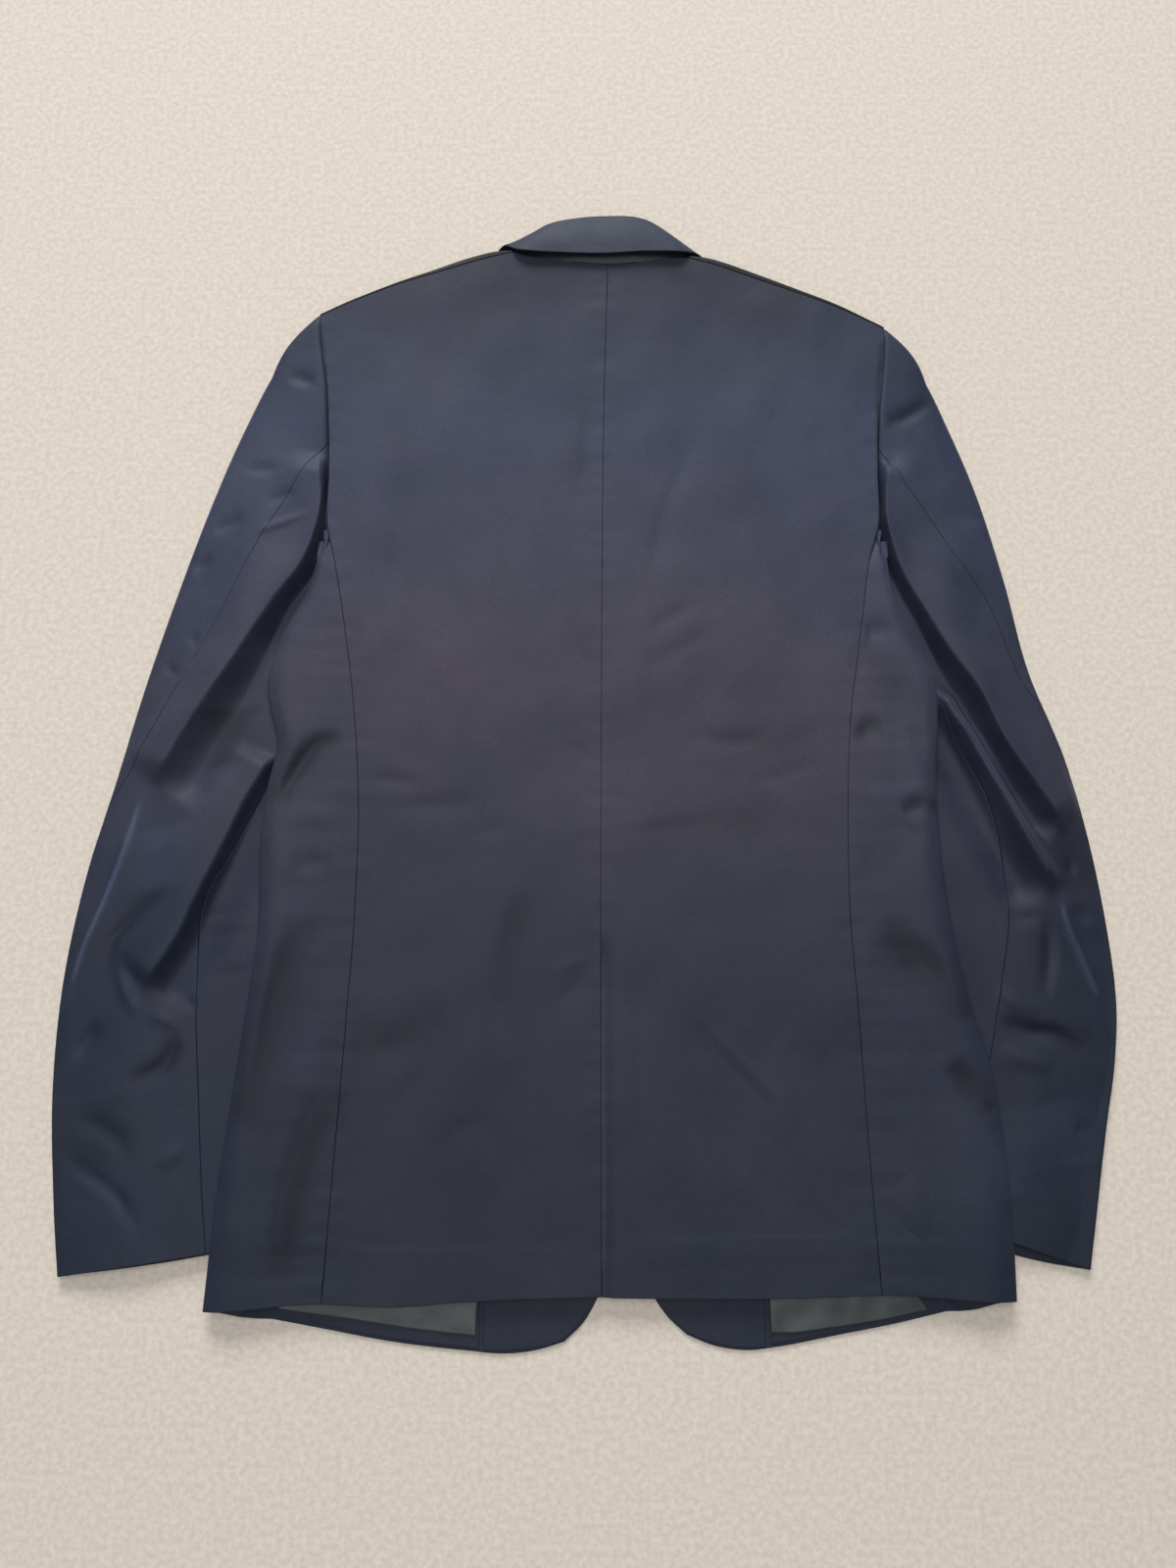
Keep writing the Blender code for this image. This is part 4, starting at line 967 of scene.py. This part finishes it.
def satin():
    """Dark green-grey lining satin, with fine puckers."""
    material, tree, shader = nodes_of("lining", Roughness=0.42, Sheen_Weight=0.25)
    threads = texture(tree, "Wave", wave_type="BANDS", bands_direction="Y", Scale=900.0, Distortion=2.0)
    cloud = texture(tree, "Noise", Scale=60.0, Detail=4.0)["Fac"]
    colour = ramp(tree, cloud, (0.3, 0.014, 0.020, 0.022), (0.7, 0.024, 0.031, 0.032))
    tree.links.new(colour, shader.inputs["Base Color"])
    bumps(tree, shader, (threads["Color"], 0.2, 0.00008), (cloud, 0.6, 0.0008))
    return material


def felt():
    """The undercollar's dark felt."""
    material, tree, shader = nodes_of("undercollar", Roughness=0.9)
    fibres = texture(tree, "Noise", Scale=900.0, Detail=3.0)["Fac"]
    colour = ramp(tree, fibres, (0.3, 0.03, 0.034, 0.044), (0.7, 0.05, 0.055, 0.066))
    tree.links.new(colour, shader.inputs["Base Color"])
    bumps(tree, shader, (fibres, 0.5, 0.0002))
    return material


def horn():
    """Dark mottled buttons."""
    material, tree, shader = nodes_of("buttons", Roughness=0.32)
    cloud = texture(tree, "Noise", Scale=140.0, Detail=4.0, Distortion=0.6)["Fac"]
    colour = ramp(tree, cloud, (0.35, 0.012, 0.012, 0.016), (0.7, 0.05, 0.045, 0.045))
    tree.links.new(colour, shader.inputs["Base Color"])
    return material


def floor():
    """The plain pale surface it lies on."""
    material, tree, shader = nodes_of("floor", Roughness=0.95)
    soft = texture(tree, "Noise", Scale=260.0, Detail=3.0)["Fac"]
    colour = ramp(tree, soft, (0.35, 0.53, 0.47, 0.40), (0.65, 0.61, 0.55, 0.475))
    tree.links.new(colour, shader.inputs["Base Color"])
    bpy.ops.mesh.primitive_plane_add(size=8)
    plane = bpy.context.object
    plane.name = "floor"
    plane.data.materials.append(material)


CAMERA_PLACE = (0, -0.2045, 0.805)  # in metres
CAMERA_TILT = 12


def light(name, place, size, power, colour):
    """A soft light aimed at the middle of the surface."""
    data = bpy.data.lights.new(name, "AREA")
    data.shape = "RECTANGLE"
    data.size, data.size_y = size
    data.energy = power
    data.color = colour
    obj = bpy.data.objects.new(name, data)
    bpy.context.scene.collection.objects.link(obj)
    obj.location = place
    x, y, z = place
    obj.rotation_euler = (np.arctan2(np.hypot(x, y), z), 0, np.arctan2(x, -y))


def stage():
    """Floor, soft light and the camera at the photo's angle."""
    floor()
    scene = bpy.context.scene
    scene.view_settings.view_transform = "Standard"
    world = bpy.data.worlds.new("world")
    scene.world = world
    world.use_nodes = True
    sky = world.node_tree.nodes["Background"]
    sky.inputs["Color"].default_value = (0.86, 0.92, 1, 1)
    sky.inputs["Strength"].default_value = 0.22
    light("ceiling", (-0.3, 0.3, 3.0), (2.2, 2.0), 55, (1, 0.99, 0.98))
    light("window", (-0.5, 5.3, 2.9), (2.4, 2.0), 370, (0.98, 0.98, 1))
    light("room", (0.3, -1.6, 2.4), (2.0, 1.6), 6, (1, 0.97, 0.93))
    lens = bpy.data.cameras.new("camera")
    lens.lens = 27
    lens.sensor_width = 36
    camera = bpy.data.objects.new("camera", lens)
    camera.location = CAMERA_PLACE
    camera.rotation_euler = (np.radians(CAMERA_TILT), 0, 0)
    scene.collection.objects.link(camera)
    scene.camera = camera


# Painted light and shade by piece: how light each piece of the suiting is beside the rest, the right
# sleeve darker and the collar's leaf lighter, and how much darker the fronts are painted, as painted shade
# where they roll over the shoulders, from where and over what height.
PAINTED_PIECE_LIGHT = {"under_sleeve_right": 0.85, "top_sleeve_right": 0.85, "collar_leaf": 1.6}
PAINTED_ROLL_SHADE = (0.85, 660, 20)

# The cut of what shows, in metres: each pattern piece's width, its length, and the share of that
# rectangle which it covers. A sleeve's pieces show on its upper side and run on underneath.
CUT = {
    "back": (0.215, 0.745, 0.86),
    "side": (0.16, 0.53, 0.76),
    "front": (0.27, 0.79, 0.64),
    "under_sleeve": (0.15, 0.64, 0.56),
    "top_sleeve": (0.2, 0.7, 0.69),
    "lapel": (0.1, 0.38, 0.5),
    "facing": (0.08, 0.05, 0.75),
    "lining_left": (0.13, 0.072, 0.75),
    "lining_right": (0.102, 0.07, 0.57),
    "turn_up_left": (0.11, 0.056, 0.86),
    "turn_up_right": (0.055, 0.056, 0.86),
    "collar_leaf": (0.36, 0.046, 0.72),
    "collar_stand": (0.17, 0.034, 0.8),
}
# What each piece lies on, where that isn't the floor.
UNDER = {"back": "lining", "under_sleeve": "top_sleeve", "facing": "front", "lining": "front",
         "turn_up": "front"}


# Each piece's length across and along, and how far apart its columns and its rows are.
GRID = {
    "back": ((215, 3), (742, 3)),
    "side": ((210, 3), (520, 3)),
    "front": ((215, 3), (760, 3)),
    "lapel": ((90, 3), (380, 3)),
    "strip": ((110, 2.2), (50, 2.2)),
    "leaf": ((370, 2), (36, 1.5)),
    "stand": ((330, 2), (34, 1.5)),
}
SLEEVE_GRID = (200, (690, 3))


def grid(kind):
    """The piece's columns and rows, as shares."""
    return [even(*line) for line in GRID[kind]]


def place(obj, slot, node, cut, rests_on):
    """The piece stands for its CAD node and rides with the garment."""
    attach(obj, "root")
    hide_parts(node)


def build():
    """All pieces with their materials."""
    cloth_look, lining_look, felt_look, horn_look = suiting(), satin(), felt(), horn()
    made = {}
    for side, name in ((-1, "left"), (1, "right")):
        us, vs = grid("front")
        faces = {
            f"back_{name}": back_face(side, *grid("back")),
            f"side_{name}": side_face(side, *grid("side")),
            f"front_{name}": front_face(side, us, vs[:-TOP_ROWS]),
        }
        wide, rows = SLEEVE_GRID
        for piece, (a, b) in SLEEVE_EDGES.items():
            r = SLEEVE_ROUND
            us = between((0, a - r, a + r, b - r, b + r, 1), SLEEVE_CELLS[piece], wide)
            faces[f"{piece}_sleeve_{name}"] = sleeve_face(side, piece, us, even(*rows))
        for key, face in faces.items():
            # Painted light and shade by piece, and painted shade where the fronts roll over the shoulders.
            painted_light_gain = PAINTED_PIECE_LIGHT.get(key, 1.0)
            if key.startswith("front"):
                shade, start, over = PAINTED_ROLL_SHADE
                painted_light_gain = 1 - shade * rise(face[..., 1], start, over)
            made[key] = cloth(f"{key}_cloth", face, cloth_look, painted_light_gain=painted_light_gain)
        level = WALL + GAP
        strips = {
            f"turn_up_{name}": (TURN_UP[side], level, cloth_look, 0.0),
            f"lining_{name}": (LINING[side], level + THIN + GAP, lining_look, 0.5),
            f"facing_{name}": (FACING[side], level, cloth_look, 0.2),
        }
        for key, ((low, high), z, look, bulge) in strips.items():
            face = strip_face(low, high, z + THIN, bulge, *grid("strip"))
            made[key] = cloth(f"{key}_cloth", face, look, thick=THIN)
        lapel = lapel_face(side, *grid("lapel"))
        made[f"lapel_{name}"] = cloth(f"lapel_{name}_cloth", lapel, cloth_look, way=(-1, 0, 0))
    leaf = collar_face("leaf", *grid("leaf"))
    made["collar_leaf"] = cloth("collar_leaf_cloth", leaf, cloth_look, painted_light_gain=PAINTED_PIECE_LIGHT["collar_leaf"])
    us, vs = grid("stand")
    stand = collar_face("stand", 0.05 + 0.9 * us, vs)
    made["collar_stand"] = cloth("collar_stand_cloth", stand, felt_look)
    for i, (x, y) in enumerate(BUTTONS):
        made[f"button_{i + 1}"] = button(f"button_{i + 1}_horn", x, y, horn_look)
    slots = {n["node"]: n["material_slot"] for n in frame["record"]["subparts"]}
    for key, obj in made.items():
        kind, name = key.rsplit("_", 1)
        rests_on = [f"{UNDER[kind]}_{name}" if kind in UNDER else "floor"]
        place(obj, slots[key], key, CUT.get(kind, CUT.get(key)), rests_on)


stage()
build()
